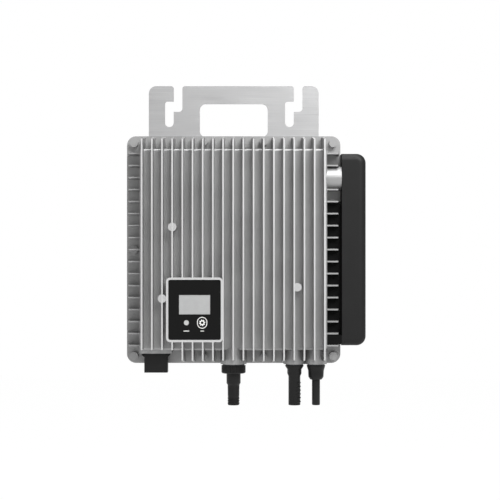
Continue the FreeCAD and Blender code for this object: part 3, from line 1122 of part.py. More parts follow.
def box_shell(corners):
    """The moulded shell of the wiring box, with the tongue that passes under the side fins."""
    shell = new_subpart("wiring_box_shell")
    pad(shell, "box_body", "XZ_Plane", [corners], BOX_BACK, f"{BOX_FRONT} - {BOX_BACK}")
    front, left = value(BOX_FRONT), value(BOX_X)
    round_edges(shell, "box_rounding", "box_edge", lambda edge: abs(edge.BoundBox.YMin + front) < CLOSE
                and abs(edge.BoundBox.YMax + front) < CLOSE and edge.BoundBox.XMax > left + CLOSE)
    inner, joint = f"({BLOCK_SIDE} + box_seam)", f"{BOX_X} + box_wall"
    low = f"{LOWEST_SIDE_FIN} + side_fin_root / 2 + box_seam"
    high = f"{LOWEST_SIDE_FIN} + tongue_fins * {SIDE_FIN_PITCH} - side_fin_root / 2 - box_seam"
    pad(shell, "tongue", "XZ_Plane", [span_loop(inner, joint, low, high)], FLANGE, "tongue_deep")
    sill_high = f"{LOWEST_SIDE_FIN} + {SIDE_FIN_PITCH} - side_fin_root / 2 - box_seam"
    pad(shell, "sill", "XZ_Plane", [span_loop(inner, joint, low, sill_high)], FLANGE, f"{BOX_FRONT} - {FLANGE}")
    hollow = box_loop(f"({BOX_X} + {BOX_RIGHT}) / 2", MID, f"{BOX_RIGHT} - {BOX_X} - 2 * box_wall",
                      f"{BOX_TALL} - 2 * box_wall", "box_hollow_corner")
    pocket(shell, "box_hollow", "XZ_Plane", [hollow], BOX_BACK, f"{BOX_FLOOR} - {BOX_BACK}", backwards=True)
    under = span_loop(f"{inner} + box_wall", BOX_X, f"{low} + box_wall", f"{high} - box_wall")
    boss = ("circle", *side_spot(1), "tongue_boss_radius")
    pocket(shell, "tongue_hollow", "XZ_Plane", [under, boss], FLANGE, "tongue_deep - box_wall", backwards=True)
    ring = [boss, ("circle", *side_spot(1), "tongue_boss_radius - tongue_mark")]
    pocket(shell, "tongue_ring", "XZ_Plane", ring, f"{FLANGE} + tongue_deep", "tongue_mark")
    pocket(shell, "tongue_tap", "XZ_Plane", circles([side_spot(1)], "tap_radius"), FLANGE,
           "tongue_deep - tongue_skin", backwards=True)
    feed = ("circle", f"-{PLUG_DEPTH}", FEED_Z, "feed_bore_radius")
    pocket(shell, "cable_hole", "YZ_Plane", [feed], f"{BOX_X} - overlap", "box_wall + 2 * overlap",
           backwards=True)
    pad(shell, "lid_posts", "XZ_Plane", circles(lid_spots(), "lid_post_radius"), BOX_BACK,
        f"{BOX_FLOOR} - {BOX_BACK} + overlap")
    pocket(shell, "lid_taps", "XZ_Plane", circles(lid_spots(), "lid_tap_radius"), BOX_BACK, "lid_tap_deep",
           backwards=True)


def wiring_box():
    """The wiring box along the right side: its shell, lid, lid screws, cable grommet and terminals."""
    low, high = f"{MID} - {BOX_TALL} / 2", f"{MID} + {BOX_TALL} / 2"
    corners = [(BOX_X, low), (BOX_RIGHT, low, "box_corner"), (BOX_RIGHT, high, "box_corner"), (BOX_X, high)]
    box_shell(corners)
    lid = new_subpart("wiring_box_lid")
    pad(lid, "lid_plate", "XZ_Plane", [corners], "bracket_sheet", "box_lid")
    pocket(lid, "lid_holes", "XZ_Plane", circles(lid_spots(), "lid_screw_radius + lid_screw_clear"),
           "bracket_sheet", "box_lid", backwards=True)
    group("wiring_box_screws", [plain_screw(x, z, "bracket_sheet", "lid_screw_radius", "lid_screw_long",
                                            "lid_head_radius", "lid_head_height") for x, z in lid_spots()])

    grommet = new_subpart("cable_grommet")
    axis = (f"-{PLUG_DEPTH}", FEED_Z)
    start, bore = f"({BLOCK_SIDE} - wall - grommet_rim)", ("circle", *axis, "feed_bore_radius - grommet_wall")
    pad(grommet, "grommet_tube", "YZ_Plane", [("circle", *axis, "feed_bore_radius - grommet_gap"), bore],
        start, f"{BOX_X} + box_wall + grommet_past - {start}")
    pad(grommet, "grommet_rim_ring", "YZ_Plane", [("circle", *axis, "feed_bore_radius + grommet_rim"), bore],
        start, "grommet_rim")

    middle = f"(({BOX_X} + {BOX_RIGHT}) / 2)"
    screw_x = [f"({middle} + {side} * terminal_spread / 2)" for side in (-1, 1)]
    face = f"({BOX_FLOOR} - terminal_high)"
    cases, tight = [], []
    for low in row(f"{MID} + terminal_rise", "terminal_pitch", "terminal_count"):
        tall = "(terminal_pitch - terminal_gap)"
        case = solid_box(f"{middle} - terminal_wide / 2", f"{middle} + terminal_wide / 2", face, BOX_FLOOR,
                         low, f"{low} + {tall}")
        for x in screw_x:
            z = f"{low} + {tall} / 2"
            case = case.cut(solid_rod("terminal_well_radius", x, face, z, "terminal_well_deep", FORWARD))
            seat = f"{face} + terminal_well_deep"
            tight.append(solid_rod("terminal_screw_radius", x, seat, z, "terminal_screw_long", BACKWARD))
        cases.append(case)
    group("terminal_block", cases)
    group("terminal_screws", tight)


def lid_spots():
    """The lid's screws: one near each end of the box, and one below its middle."""
    middle, up = f"(({BOX_X} + {BOX_RIGHT}) / 2)", f"({BOX_TALL} / 2 - box_wall - lid_post_inset)"
    return [(middle, f"{MID} - {up}"), (middle, f"{MID} + {up}"), (middle, f"{MID} - lid_post_drop")]


def on_board(x, z, wide, tall, high, lift="0"):
    """A box on the main board, or lifted above it, about (x, z) from the board's middle."""
    foot = f"{BOARD_FRONT} + {lift}"
    return solid_box(f"{x} - ({wide}) / 2", f"{x} + ({wide}) / 2", foot, f"{foot} + {high}",
                     f"{BOARD_Z} + ({z}) - ({tall}) / 2", f"{BOARD_Z} + ({z}) + ({tall}) / 2")


def main_board():
    """The main board, a bare sheet with four screw holes."""
    board = new_subpart("main_board")
    pad(board, "main_board_plate", "XZ_Plane", [box_loop("0", BOARD_Z, BOARD_WIDE, BOARD_TALL, "board_corner")],
        BOARD_REAR, "board_sheet")
    pocket(board, "board_holes", "XZ_Plane", circles(board_spots(), "board_screw_radius + board_screw_clear"),
           BOARD_REAR, "board_sheet", backwards=True)


def transformers():
    """Cores with two windows each, and the flat coils around their middle legs."""
    cores, coils = [], []
    for x in row("core_left", "core_pitch", "core_count"):
        core = on_board(x, "core_rise", "core_wide", "core_tall", f"{HEADROOM} - core_gap")
        for side in (-1, 1):
            window_x = f"({x} + {side} * (core_leg + core_window_wide) / 2)"
            core = core.cut(on_board(window_x, "core_rise", "core_window_wide", "core_tall + overlap",
                                     "core_window_high", "core_floor"))
        coil = on_board(x, "core_rise", "core_leg + 2 * core_window_wide - 2 * coil_gap",
                        "core_tall + 2 * coil_proud", "core_window_high - 2 * coil_gap",
                        "core_floor + coil_gap")
        leg = on_board(x, "core_rise", "core_leg + 2 * coil_gap", "core_tall + 2 * coil_gap",
                       "core_window_high", "core_floor")
        cores.append(core)
        coils.append(coil.cut(leg))
    group("transformer_cores", cores)
    group("transformer_coils", coils)


def power_transistors():
    """Transistors pressed to the housing's front wall through a heat pad, their legs in the board."""
    back, front = f"({ROOF} - pad_thick - transistor_thick)", f"{ROOF} - pad_thick"
    low = f"({BOARD_Z} + transistor_low)"
    cases = []
    places = row("transistor_left", "transistor_pitch", "transistor_count")
    for x in places:
        case = solid_box(f"{x} - transistor_wide / 2", f"{x} + transistor_wide / 2", back, front,
                         low, f"{low} + transistor_tall")
        first = f"{x} - (transistor_leg_count - 1) / 2 * transistor_leg_pitch"
        for leg in row(first, "transistor_leg_pitch", "transistor_leg_count"):
            case = case.fuse(solid_box(f"{leg} - transistor_leg_wide / 2", f"{leg} + transistor_leg_wide / 2",
                                       BOARD_FRONT, f"{back} + transistor_thick / 2",
                                       f"{low} - transistor_leg_thick", low))
        cases.append(case.removeSplitter())
    group("power_transistors", cases)
    side = "(transistor_wide / 2 + pad_side)"
    group("heat_pad", [solid_box(f"{places[0]} - {side}", f"{places[-1]} + {side}", front, ROOF,
                                 f"{low} - pad_edge", f"{low} + transistor_tall + pad_edge")])


def board_parts():
    """The choke, capacitors, relays and chips on the main board, and the tabs from the solar contacts."""
    choke_at = Vec(value(f"{BOARD_WIDE} / 2 - choke_inset"), -value(f"{BOARD_FRONT} + choke_thick"),
                   value(f"{BOARD_Z} + core_rise"))
    group("filter_choke", [Part.makeTorus(value("choke_radius"), value("choke_thick"), choke_at, FORWARD)])
    cans = []
    can_radius = f"({HEADROOM} - can_gap) / 2"
    for x in row(f"-{BOARD_WIDE} / 2 + can_inset", "can_pitch", "can_count"):
        can = solid_rod(can_radius, x, f"{BOARD_FRONT} + {can_radius}", f"{BOARD_Z} - can_drop",
                        "can_long", DOWN)
        rims = [edge for edge in can.Edges if edge.BoundBox.ZLength < CLOSE]
        cans.append(can.makeFillet(value("can_edge"), rims))
    group("bulk_capacitors", cans)
    films = row(f"{BOARD_WIDE} / 2 - film_inset", "film_pitch", "film_count")
    group("film_capacitors", [on_board(x, "-film_drop", "film_wide", "film_tall", f"{HEADROOM} - film_gap")
                              for x in films])
    group("mains_relays", [on_board(x, "-relay_drop", "relay_wide", "relay_tall", f"{HEADROOM} - relay_gap")
                           for x in row("relay_left", "relay_pitch", "relay_count")])
    group("controller_chips", [on_board("chip_shift", "-chip_drop", "chip_wide", "chip_wide", "chip_high"),
                               on_board("driver_shift", "-driver_drop", "driver_wide", "driver_wide",
                                        "chip_high")])
    end = f"{BOTTOM} + {PLUG_TOP} + contact_proud"
    tabs = []
    for x in (DC_PLUS_X, DC_MINUS_X):
        sides = (f"{x} - tab_wide / 2", f"{x} + tab_wide / 2")
        flat = solid_box(*sides, BOARD_FRONT, f"{PLUG_DEPTH} + tab_wide / 2", end, f"{end} + tab_thick")
        upright = solid_box(*sides, BOARD_FRONT, f"{BOARD_FRONT} + tab_thick", end,
                            f"{BOARD_Z} - {BOARD_TALL} / 2 + tab_lap")
        tabs.append(flat.fuse(upright).removeSplitter())
    group("solar_tabs", tabs)


housing()
rear_cover()
cover_gasket()
bracket()
screws()
display()
data_port()
ac_connector()
dc_connectors()
wiring_box()
main_board()
transformers()
power_transistors()
board_parts()

doc.recompute()
failed = [f"{o.Label}: {o.State}" for o in doc.Objects if "Invalid" in o.State or "Error" in o.State]
failed += [f"{p.Label}: bad shape" for p in subparts if p.Shape.isNull() or not p.Shape.isValid()]
if failed:
    raise RuntimeError("; ".join(failed))
os.makedirs("parts", exist_ok=True)
for part in subparts:
    part.Shape.exportStep(f"parts/{part.Label}.step")
    print(f"{part.Label}: {len(part.Shape.Solids)} solids, {part.Shape.Volume:.0f} mm3")
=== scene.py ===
"""Looks of a micro inverter: a die-cast finned housing on a brushed hanging bracket, with a display
panel, a black wiring box down its right side and black plug connectors underneath."""

import math

import bmesh
import bpy
from mathutils import Matrix, Vector


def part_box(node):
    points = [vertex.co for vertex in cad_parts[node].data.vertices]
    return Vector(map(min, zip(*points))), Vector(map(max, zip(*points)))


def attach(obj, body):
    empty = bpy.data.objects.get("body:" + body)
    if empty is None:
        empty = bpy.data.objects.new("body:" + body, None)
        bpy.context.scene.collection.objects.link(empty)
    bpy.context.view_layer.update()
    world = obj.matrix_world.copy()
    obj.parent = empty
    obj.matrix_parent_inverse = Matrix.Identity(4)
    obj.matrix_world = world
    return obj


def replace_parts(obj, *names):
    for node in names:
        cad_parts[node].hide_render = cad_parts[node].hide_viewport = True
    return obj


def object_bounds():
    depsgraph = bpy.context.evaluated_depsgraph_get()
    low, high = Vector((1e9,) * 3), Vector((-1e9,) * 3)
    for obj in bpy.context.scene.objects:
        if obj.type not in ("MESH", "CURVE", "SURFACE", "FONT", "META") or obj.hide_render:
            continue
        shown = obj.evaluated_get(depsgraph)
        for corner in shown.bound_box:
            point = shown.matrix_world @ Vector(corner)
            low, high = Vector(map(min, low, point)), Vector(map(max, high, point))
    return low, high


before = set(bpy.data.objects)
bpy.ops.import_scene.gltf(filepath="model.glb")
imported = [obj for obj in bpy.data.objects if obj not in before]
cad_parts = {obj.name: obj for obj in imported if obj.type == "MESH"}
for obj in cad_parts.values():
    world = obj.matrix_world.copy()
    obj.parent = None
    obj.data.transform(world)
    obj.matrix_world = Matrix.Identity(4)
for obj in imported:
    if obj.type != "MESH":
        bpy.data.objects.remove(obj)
cad_low, cad_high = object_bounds()

# The camera stands square in front of the inverter, a little right of its middle and level with
# the middle of the housing, as far off as a short telephoto lens puts it.
SENSOR_MM = 36
VIEW_WIDE = 0.600
VIEW_FAR = 1.560
VIEW_MIDDLE = Vector((0.0196, -0.0115, -0.1537))
camera = bpy.data.objects.new("camera", bpy.data.cameras.new("camera"))
bpy.context.scene.collection.objects.link(camera)
camera.data.sensor_width = SENSOR_MM
camera.data.lens = SENSOR_MM * VIEW_FAR / VIEW_WIDE
camera.location = VIEW_MIDDLE - Vector((0, VIEW_FAR, 0))
camera.rotation_euler = (math.radians(90), 0, 0)
bpy.context.scene.camera = camera


# The studio is a white floor under a white surround, one large soft lamp high on the right, a weak
# one low on the left and one above, which grazes the bracket and the upper ends of the fins.
def linear(colour):
    """The linear RGBA of an sRGB hex colour."""
    parts = [int(colour[i:i + 2], 16) / 255 for i in (1, 3, 5)]
    return [c / 12.92 if c <= 0.04045 else ((c + 0.055) / 1.055) ** 2.4 for c in parts] + [1]


def add_node(tree, kind, sockets, **settings):
    """One shader node with its settings; a socket takes a value or another node's output."""
    made = tree.nodes.new("ShaderNode" + kind)
    for name, value in settings.items():
        setattr(made, name, value)
    for name, value in sockets.items():
        if isinstance(value, bpy.types.NodeSocket):
            tree.links.new(value, made.inputs[name])
        else:
            made.inputs[name].default_value = value
    return made


WHITE = (1, 1, 1, 1)
SURROUND_STRENGTH = 0.42
scene_world = bpy.data.worlds.new("studio_air")
bpy.context.scene.world = scene_world
scene_world.use_nodes = True
tree = scene_world.node_tree
tree.nodes.clear()
path = add_node(tree, "LightPath", {}).outputs
seen = add_node(tree, "Math", {0: path["Is Camera Ray"], 1: path["Is Transmission Ray"]}, operation="MAXIMUM")
around = add_node(tree, "Background", {"Color": linear("#f0f0f0"), "Strength": SURROUND_STRENGTH})
behind = add_node(tree, "Background", {"Color": WHITE, "Strength": 1.0})
chosen = add_node(tree, "MixShader", {0: seen.outputs[0], 1: around.outputs[0], 2: behind.outputs[0]})
add_node(tree, "OutputWorld", {"Surface": chosen.outputs[0]})

FLOOR_GLOW_SHARE = 0.84
FLOOR_GLOW_STRENGTH = 1.12
floor_paint = bpy.data.materials.new("white_floor")
floor_paint.use_nodes = True
tree = floor_paint.node_tree
tree.nodes.clear()
path = add_node(tree, "LightPath", {}).outputs
seen = add_node(tree, "Math", {0: path["Is Camera Ray"], 1: path["Is Glossy Ray"]}, operation="MAXIMUM")
share = add_node(tree, "Math", {0: seen.outputs[0], 1: FLOOR_GLOW_SHARE}, operation="MULTIPLY")
card = add_node(tree, "BsdfDiffuse", {"Color": linear("#f4f4f4")})
white = add_node(tree, "Emission", {"Color": WHITE, "Strength": FLOOR_GLOW_STRENGTH})
chosen = add_node(tree, "MixShader", {0: share.outputs[0], 1: card.outputs[0], 2: white.outputs[0]})
add_node(tree, "OutputMaterial", {"Surface": chosen.outputs[0]})

FLOOR_HALF = 8.0
FLOOR_BELOW = 1.1
floor_shape = bmesh.new()
bmesh.ops.create_grid(floor_shape, x_segments=1, y_segments=1, size=FLOOR_HALF)
bmesh.ops.translate(floor_shape, verts=floor_shape.verts, vec=(0, 0, -FLOOR_BELOW))
floor_mesh = bpy.data.meshes.new("floor")
floor_shape.to_mesh(floor_mesh)
floor_mesh.materials.append(floor_paint)
floor_object = bpy.data.objects.new("floor", floor_mesh)
bpy.context.scene.collection.objects.link(floor_object)

# Each lamp is a disc: its place, its width in metres and its power in watts.
LAMPS = {"key_lamp": ((0.85, -1.45, 1.2), 1.4, 56),
         "fill_lamp": ((-1.5, -1.3, 0.1), 1.4, 3),
         "top_lamp": ((0.1, -0.1, 1.5), 1.2, 17)}
for name, (place, wide, watts) in LAMPS.items():
    lamp = bpy.data.objects.new(name, bpy.data.lights.new(name, "AREA"))
    lamp.data.shape = "DISK"
    lamp.data.size = wide
    lamp.data.energy = watts
    lamp.location = place
    aim = VIEW_MIDDLE - lamp.location
    lamp.rotation_euler = aim.to_track_quat("-Z", "Y").to_euler()
    bpy.context.scene.collection.objects.link(lamp)
bpy.context.scene.view_settings.view_transform = "Standard"


# The housing is a pressure die casting in aluminium, blasted to a fine even grain. The fin tips and
# the display rim carry a painted highlight, lighter colour on the faces nearest the front, and the flow of the metal
# leaves a faint cloudiness.
def new_material(name, **sockets):
    """A material with one Principled shader, its sockets named with underscores, and its object coordinates."""
    material = bpy.data.materials.new(name)
    material.use_nodes = True
    shader = material.node_tree.nodes["Principled BSDF"]
    for socket, value in sockets.items():
        shader.inputs[socket.replace("_", " ")].default_value = value
    where = add_node(material.node_tree, "TexCoord", {}).outputs["Object"]
    return material, material.node_tree, shader, where


def dress(material, *names):
    """Gives CAD nodes their material."""
    for name in names:
        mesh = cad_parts[name].data
        mesh.materials.clear()
        mesh.materials.append(material)


MM = 1000.0
BLAST_GRAIN_MM = 0.35
FLOW_CLOUD_MM = 45.0
TIP_HIGHLIGHT_FROM = 0.0012
TIP_HIGHLIGHT_FULL = 0.0001
NOISE_LOW, NOISE_HIGH = 0.3, 0.7  # a noise texture's values mostly lie between these
COLOUR_A, COLOUR_B, COLOUR_OUT = 6, 7, 2  # the colour sockets of a Mix node, whose names it uses more than once
housing_low, housing_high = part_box("housing")
tip_depth = housing_low.y
casting, tree, shader, where = new_material("die_cast_aluminium", Metallic=0.72)
grain = add_node(tree, "TexNoise", {"Vector": where, "Scale": MM / BLAST_GRAIN_MM,
                                    "Detail": 3.0, "Roughness": 0.6}).outputs[0]
cloud = add_node(tree, "TexNoise", {"Vector": where, "Scale": MM / FLOW_CLOUD_MM,
                                    "Detail": 4.0, "Roughness": 0.55}).outputs[0]
depth = add_node(tree, "SeparateXYZ", {"Vector": where}).outputs["Y"]
clouded = add_node(tree, "MapRange", {"Value": cloud, "From Min": 0.35, "From Max": 0.65})
pitted = add_node(tree, "MapRange", {"Value": grain, "From Min": 0.35, "From Max": NOISE_HIGH, "To Max": 0.35})
# Painted highlight: faces within about a millimetre of the fin tips are painted lighter.
painted_tip_highlight = add_node(tree, "MapRange", {"Value": depth, "From Min": tip_depth + TIP_HIGHLIGHT_FROM,
                                     "From Max": tip_depth + TIP_HIGHLIGHT_FULL})
base = add_node(tree, "Mix", {0: clouded.outputs[0], COLOUR_A: linear("#a6a6a6"), COLOUR_B: linear("#b2b2b2")},
                data_type="RGBA").outputs[COLOUR_OUT]
for amount, colour in ((pitted, "#8f8f8f"), (painted_tip_highlight, "#d2d2d2")):
    base = add_node(tree, "Mix", {0: amount.outputs[0], COLOUR_A: base, COLOUR_B: linear(colour)},
                    data_type="RGBA").outputs[COLOUR_OUT]
tree.links.new(base, shader.inputs["Base Color"])
gloss = add_node(tree, "MapRange", {"Value": grain, "From Min": NOISE_LOW, "From Max": NOISE_HIGH,
                                    "To Min": 0.40, "To Max": 0.56})
tree.links.new(gloss.outputs[0], shader.inputs["Roughness"])
relief = add_node(tree, "Bump", {"Height": grain, "Strength": 0.28, "Distance": 0.2 / MM})
tree.links.new(relief.outputs[0], shader.inputs["Normal"])
dress(casting, "housing")

# The bracket is laser-cut stainless sheet with a brushed finish that runs across it, and the rear
# cover is the same sheet, thinner, with its grain upright.
SCRATCH_WIDE_MM = 0.25
SCRATCH_LONG_MM = 60.0
SHEET_CLOUD_MM = 83.33


def brushed_sheet(name, colour, darker, along):
    """Stainless steel with long fine scratches: along is the axis that the brush moved on."""
    material, tree, shader, where = new_material(name, Metallic=0.9)
    scale = [MM / SCRATCH_WIDE_MM] * 3
    scale["XYZ".index(along)] = MM / SCRATCH_LONG_MM
    drawn = add_node(tree, "Mapping", {"Vector": where, "Scale": scale}).outputs[0]
    scratch = add_node(tree, "TexNoise", {"Vector": drawn, "Scale": 1.0, "Detail": 4.0, "Roughness": 0.65}).outputs[0]
    wide = add_node(tree, "TexNoise", {"Vector": where, "Scale": MM / SHEET_CLOUD_MM, "Detail": 2.0}).outputs[0]
    fine = add_node(tree, "MapRange", {"Value": scratch, "From Min": NOISE_LOW, "From Max": NOISE_HIGH})
    broad = add_node(tree, "MapRange", {"Value": wide, "From Min": NOISE_LOW, "From Max": NOISE_HIGH, "To Max": 0.25})
    tone = add_node(tree, "Mix", {0: fine.outputs[0], COLOUR_A: linear(darker), COLOUR_B: linear(colour)},
                    data_type="RGBA").outputs[COLOUR_OUT]
    tone = add_node(tree, "Mix", {0: broad.outputs[0], COLOUR_A: tone, COLOUR_B: linear(darker)},
                    data_type="RGBA").outputs[COLOUR_OUT]
    tree.links.new(tone, shader.inputs["Base Color"])
    gloss = add_node(tree, "MapRange", {"Value": scratch, "From Min": 0.25, "From Max": 0.75,
                                        "To Min": 0.27, "To Max": 0.45})
    tree.links.new(gloss.outputs[0], shader.inputs["Roughness"])
    relief = add_node(tree, "Bump", {"Height": scratch, "Strength": 0.18, "Distance": 0.12 / MM})
    tree.links.new(relief.outputs[0], shader.inputs["Normal"])
    return material


dress(brushed_sheet("brushed_stainless", "#dcdcdc", "#c3c3c4", "X"), "hanging_bracket")
dress(brushed_sheet("brushed_cover_sheet", "#cfd0d1", "#b4b5b7", "Z"), "rear_cover")


# The screws are zinc-plated steel, turned and rolled, so the plating is bright with a faint bluish
# cast and dulls in patches a few millimetres wide.
def mottled(name, darker, lighter, patch_mm, detail, rough=None, bump=None, **sockets):
    """A material that wanders between two tones in patches of the size given, one size or one for
    each axis. The same noise can spread its roughness and raise it by a strength and a depth in mm."""
    material, tree, shader, where = new_material(name, **sockets)
    sizes = patch_mm if isinstance(patch_mm, tuple) else (patch_mm,) * 3
    spaced = add_node(tree, "Mapping", {"Vector": where, "Scale": [MM / size for size in sizes]}).outputs[0]
    noise = add_node(tree, "TexNoise", {"Vector": spaced, "Scale": 1.0, "Detail": detail}).outputs[0]
    spread = add_node(tree, "MapRange", {"Value": noise, "From Min": NOISE_LOW, "From Max": NOISE_HIGH})
    tone = add_node(tree, "Mix", {0: spread.outputs[0], COLOUR_A: linear(darker), COLOUR_B: linear(lighter)},
                    data_type="RGBA").outputs[COLOUR_OUT]
    tree.links.new(tone, shader.inputs["Base Color"])
    if rough:
        gloss = add_node(tree, "MapRange", {"Value": noise, "From Min": NOISE_LOW, "From Max": NOISE_HIGH,
                                            "To Min": rough[0], "To Max": rough[1]})
        tree.links.new(gloss.outputs[0], shader.inputs["Roughness"])
    if bump:
        relief = add_node(tree, "Bump", {"Height": noise, "Strength": bump[0], "Distance": bump[1] / MM})
        tree.links.new(relief.outputs[0], shader.inputs["Normal"])
    return material


plating = mottled("zinc_plated_steel", "#b4b9bf", "#d0d2d3", 2.5, 3.0, rough=(0.22, 0.42), Metallic=0.95)
dress(plating, "cover_screws", "bracket_screws", "board_screws", "wiring_box_screws", "terminal_screws")

# The gaskets, plug seals and the cable grommet are moulded silicone: dull, slightly dusty and soft
# to light at grazing angles.
silicone = mottled("moulded_silicone", "#3a3c3e", "#4c4e50", 1.8, 5.0, bump=(0.15, 0.2),
                   Roughness=0.72, Sheen_Weight=0.15, Sheen_Roughness=0.5)
dress(silicone, "cover_gasket", "port_seal", "ac_seal", "dc_plus_seal", "dc_minus_seal", "cable_grommet")

# The display's overlay is back-printed polyester sheet, satin black, glued on its ledge. Its
# printing is white ink: a plain bar below the lamp and another below the button.
overlay_low, overlay_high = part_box("display_overlay")
satin = mottled("satin_black_overlay", "#0a0a0a", "#0e0e0e", 0.4, 2.0, rough=(0.30, 0.42), bump=(0.08, 0.1),
                IOR=1.57, Specular_IOR_Level=0.13, Coat_Weight=0.04, Coat_Roughness=0.3)
dress(satin, "display_overlay")
ink = mottled("white_screen_ink", "#dededc", "#f0f0ee", 0.3, 2.0, Roughness=0.45)
INK_THICK = 0.00005


def keep_piece(name, shape, body, slot, *materials):
    """Makes a bmesh a piece of the scene that rides on a body."""
    mesh = bpy.data.meshes.new(name)
    shape.to_mesh(mesh)
    shape.free()
    for material in materials:
        mesh.materials.append(material)
    piece = bpy.data.objects.new(name, mesh)
    bpy.context.scene.collection.objects.link(piece)
    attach(piece, body)
    return piece


def stand_up(shape, face_y):
    """Turns a flat outline drawn on XY to face the front, with its upper side at the depth given."""
    bmesh.ops.rotate(shape, verts=shape.verts, cent=(0, 0, 0), matrix=Matrix.Rotation(math.radians(90), 3, "X"))
    bmesh.ops.translate(shape, verts=shape.verts, vec=(0, face_y, 0))


def ink_solid(shape, faces):
    """Gives flat ink its thickness."""
    grown = bmesh.ops.extrude_face_region(shape, geom=faces)
    lifted = [v for v in grown["geom"] if isinstance(v, bmesh.types.BMVert)]
    bmesh.ops.translate(shape, verts=lifted, vec=(0, 0, INK_THICK))
    bmesh.ops.recalc_face_normals(shape, faces=shape.faces)


LAMP_BAR_WIDE = 0.0066
BUTTON_BAR_WIDE = 0.0042
BAR_TALL = 0.0009
BAR_DROP = 0.0097
BAR_ROUNDING = BAR_TALL * 0.45
lamp_low, lamp_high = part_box("status_lamp")
button_low, button_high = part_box("set_button")
lamp_middle = (lamp_low + lamp_high) / 2
button_middle = (button_low + button_high) / 2
bars = bmesh.new()
for centre, wide in ((lamp_middle, LAMP_BAR_WIDE), (button_middle, BUTTON_BAR_WIDE)):
    made = bmesh.ops.create_grid(bars, x_segments=1, y_segments=1, size=0.5)
    bmesh.ops.scale(bars, verts=made["verts"], vec=(wide, BAR_TALL, 1))
    bmesh.ops.translate(bars, verts=made["verts"], vec=(centre.x, centre.z - BAR_DROP, 0))
bmesh.ops.bevel(bars, geom=list(bars.verts), offset=BAR_ROUNDING, segments=5, affect="VERTICES", profile=0.5,
                material=-1)
ink_solid(bars, list(bars.faces))
stand_up(bars, overlay_low.y)
keep_piece("label_bars", bars, "inverter", "overlay_black", ink)

# The window is a clear acrylic pane over a grey liquid-crystal cell, whose rows of cells show
# faintly when it is off. The lamp beside the button is a frosted light pipe.
pane = mottled("clear_acrylic", "#ebecec", "#f3f4f4", 9.0, 3.0, Roughness=0.12, IOR=1.49, Transmission_Weight=0.55)
dress(pane, "display_window")

CELL_MM = 0.55
CELL_GAP_MM = 0.06
FACE_FRONT = (math.radians(90), 0, 0)
crystal, tree, shader, where = new_material("liquid_crystal_cell", Roughness=0.4)
upright = add_node(tree, "Mapping", {"Vector": where, "Rotation": FACE_FRONT}).outputs[0]
tiles = add_node(tree, "TexBrick", {
    "Vector": upright, "Scale": 1.0, "Brick Width": CELL_MM / MM, "Row Height": CELL_MM / MM,
    "Mortar Size": CELL_GAP_MM / MM, "Color1": linear("#dadcda"), "Color2": linear("#e0e2e0"),
    "Mortar": linear("#cbcecb")}, offset=0.0)
tree.links.new(tiles.outputs[0], shader.inputs["Base Color"])
dress(crystal, "display_screen")

frosted = mottled("frosted_light_pipe", "#bfc0bf", "#d2d3d1", 0.6, 2.0, Roughness=0.38, IOR=1.49,
                  Transmission_Weight=0.2)
dress(frosted, "status_lamp")

# The set button is a black silicone-rubber key. A white ring is printed around its edge and a cog,
# the usual sign for settings, in its middle; both wear with it and move with it.
key_rubber = mottled("black_key_rubber", "#0a0a0a", "#101010", 0.5, 3.0, bump=(0.1, 0.1),
                     Roughness=0.5, Specular_IOR_Level=0.3, Sheen_Weight=0.05)
dress(key_rubber, "set_button")

RING_EDGE = 0.0014
RING_STROKE = 0.0008
half_wide = (button_high.x - button_low.x) / 2 - RING_EDGE
extra_tall = (button_high.z - button_low.z) / 2 - RING_EDGE - half_wide
ring = bmesh.new()
bmesh.ops.create_circle(ring, cap_ends=True, radius=half_wide, segments=64)
for vert in ring.verts:
    vert.co.y += extra_tall if vert.co.y > 0 else -extra_tall
disc = ring.faces[:]
bmesh.ops.inset_region(ring, faces=disc, thickness=RING_STROKE, use_boundary=True, use_even_offset=True)
bmesh.ops.delete(ring, geom=disc, context="FACES_ONLY")
ink_solid(ring, list(ring.faces))
bmesh.ops.translate(ring, verts=ring.verts, vec=(button_middle.x, button_middle.z, 0))
stand_up(ring, button_low.y)
keep_piece("button_ring", ring, "button", "button_rubber", ink)

COG_TEETH = 8
COG_ROOT = 0.0028
COG_TIP = 0.0037
COG_HOLE = 0.0016
EDGES_PER_PITCH = 6
EDGES_PER_TOOTH = 3
cog = bmesh.new()
bmesh.ops.create_circle(cog, cap_ends=True, radius=COG_ROOT, segments=COG_TEETH * EDGES_PER_PITCH)
wheel = cog.faces[:]
bmesh.ops.inset_region(cog, faces=wheel, thickness=COG_ROOT - COG_HOLE, use_boundary=True, use_even_offset=True)
bmesh.ops.delete(cog, geom=wheel, context="FACES_ONLY")
ALMOST = 0.99
rim = [e for e in cog.edges if min(v.co.length for v in e.verts) > COG_ROOT * ALMOST]
rim.sort(key=lambda e: math.atan2(*(e.verts[0].co + e.verts[1].co).yx))
teeth = [e for i, e in enumerate(rim) if i % EDGES_PER_PITCH < EDGES_PER_TOOTH]
grown = bmesh.ops.extrude_edge_only(cog, edges=teeth)
for vert in grown["geom"]:
    if isinstance(vert, bmesh.types.BMVert):
        vert.co *= COG_TIP / COG_ROOT
bmesh.ops.recalc_face_normals(cog, faces=cog.faces)
ink_solid(cog, list(cog.faces))
bmesh.ops.translate(cog, verts=cog.verts, vec=(button_middle.x, button_middle.z, 0))
stand_up(cog, button_low.y)
keep_piece("button_cog", cog, "button", "button_rubber", ink)

# The plugs, the lock ring, the data port and its cap are glass-filled black nylon, injection
# moulded with a fine spark-eroded grain that keeps their highlights broad.
MOULD_FLOW_MM = 30.0


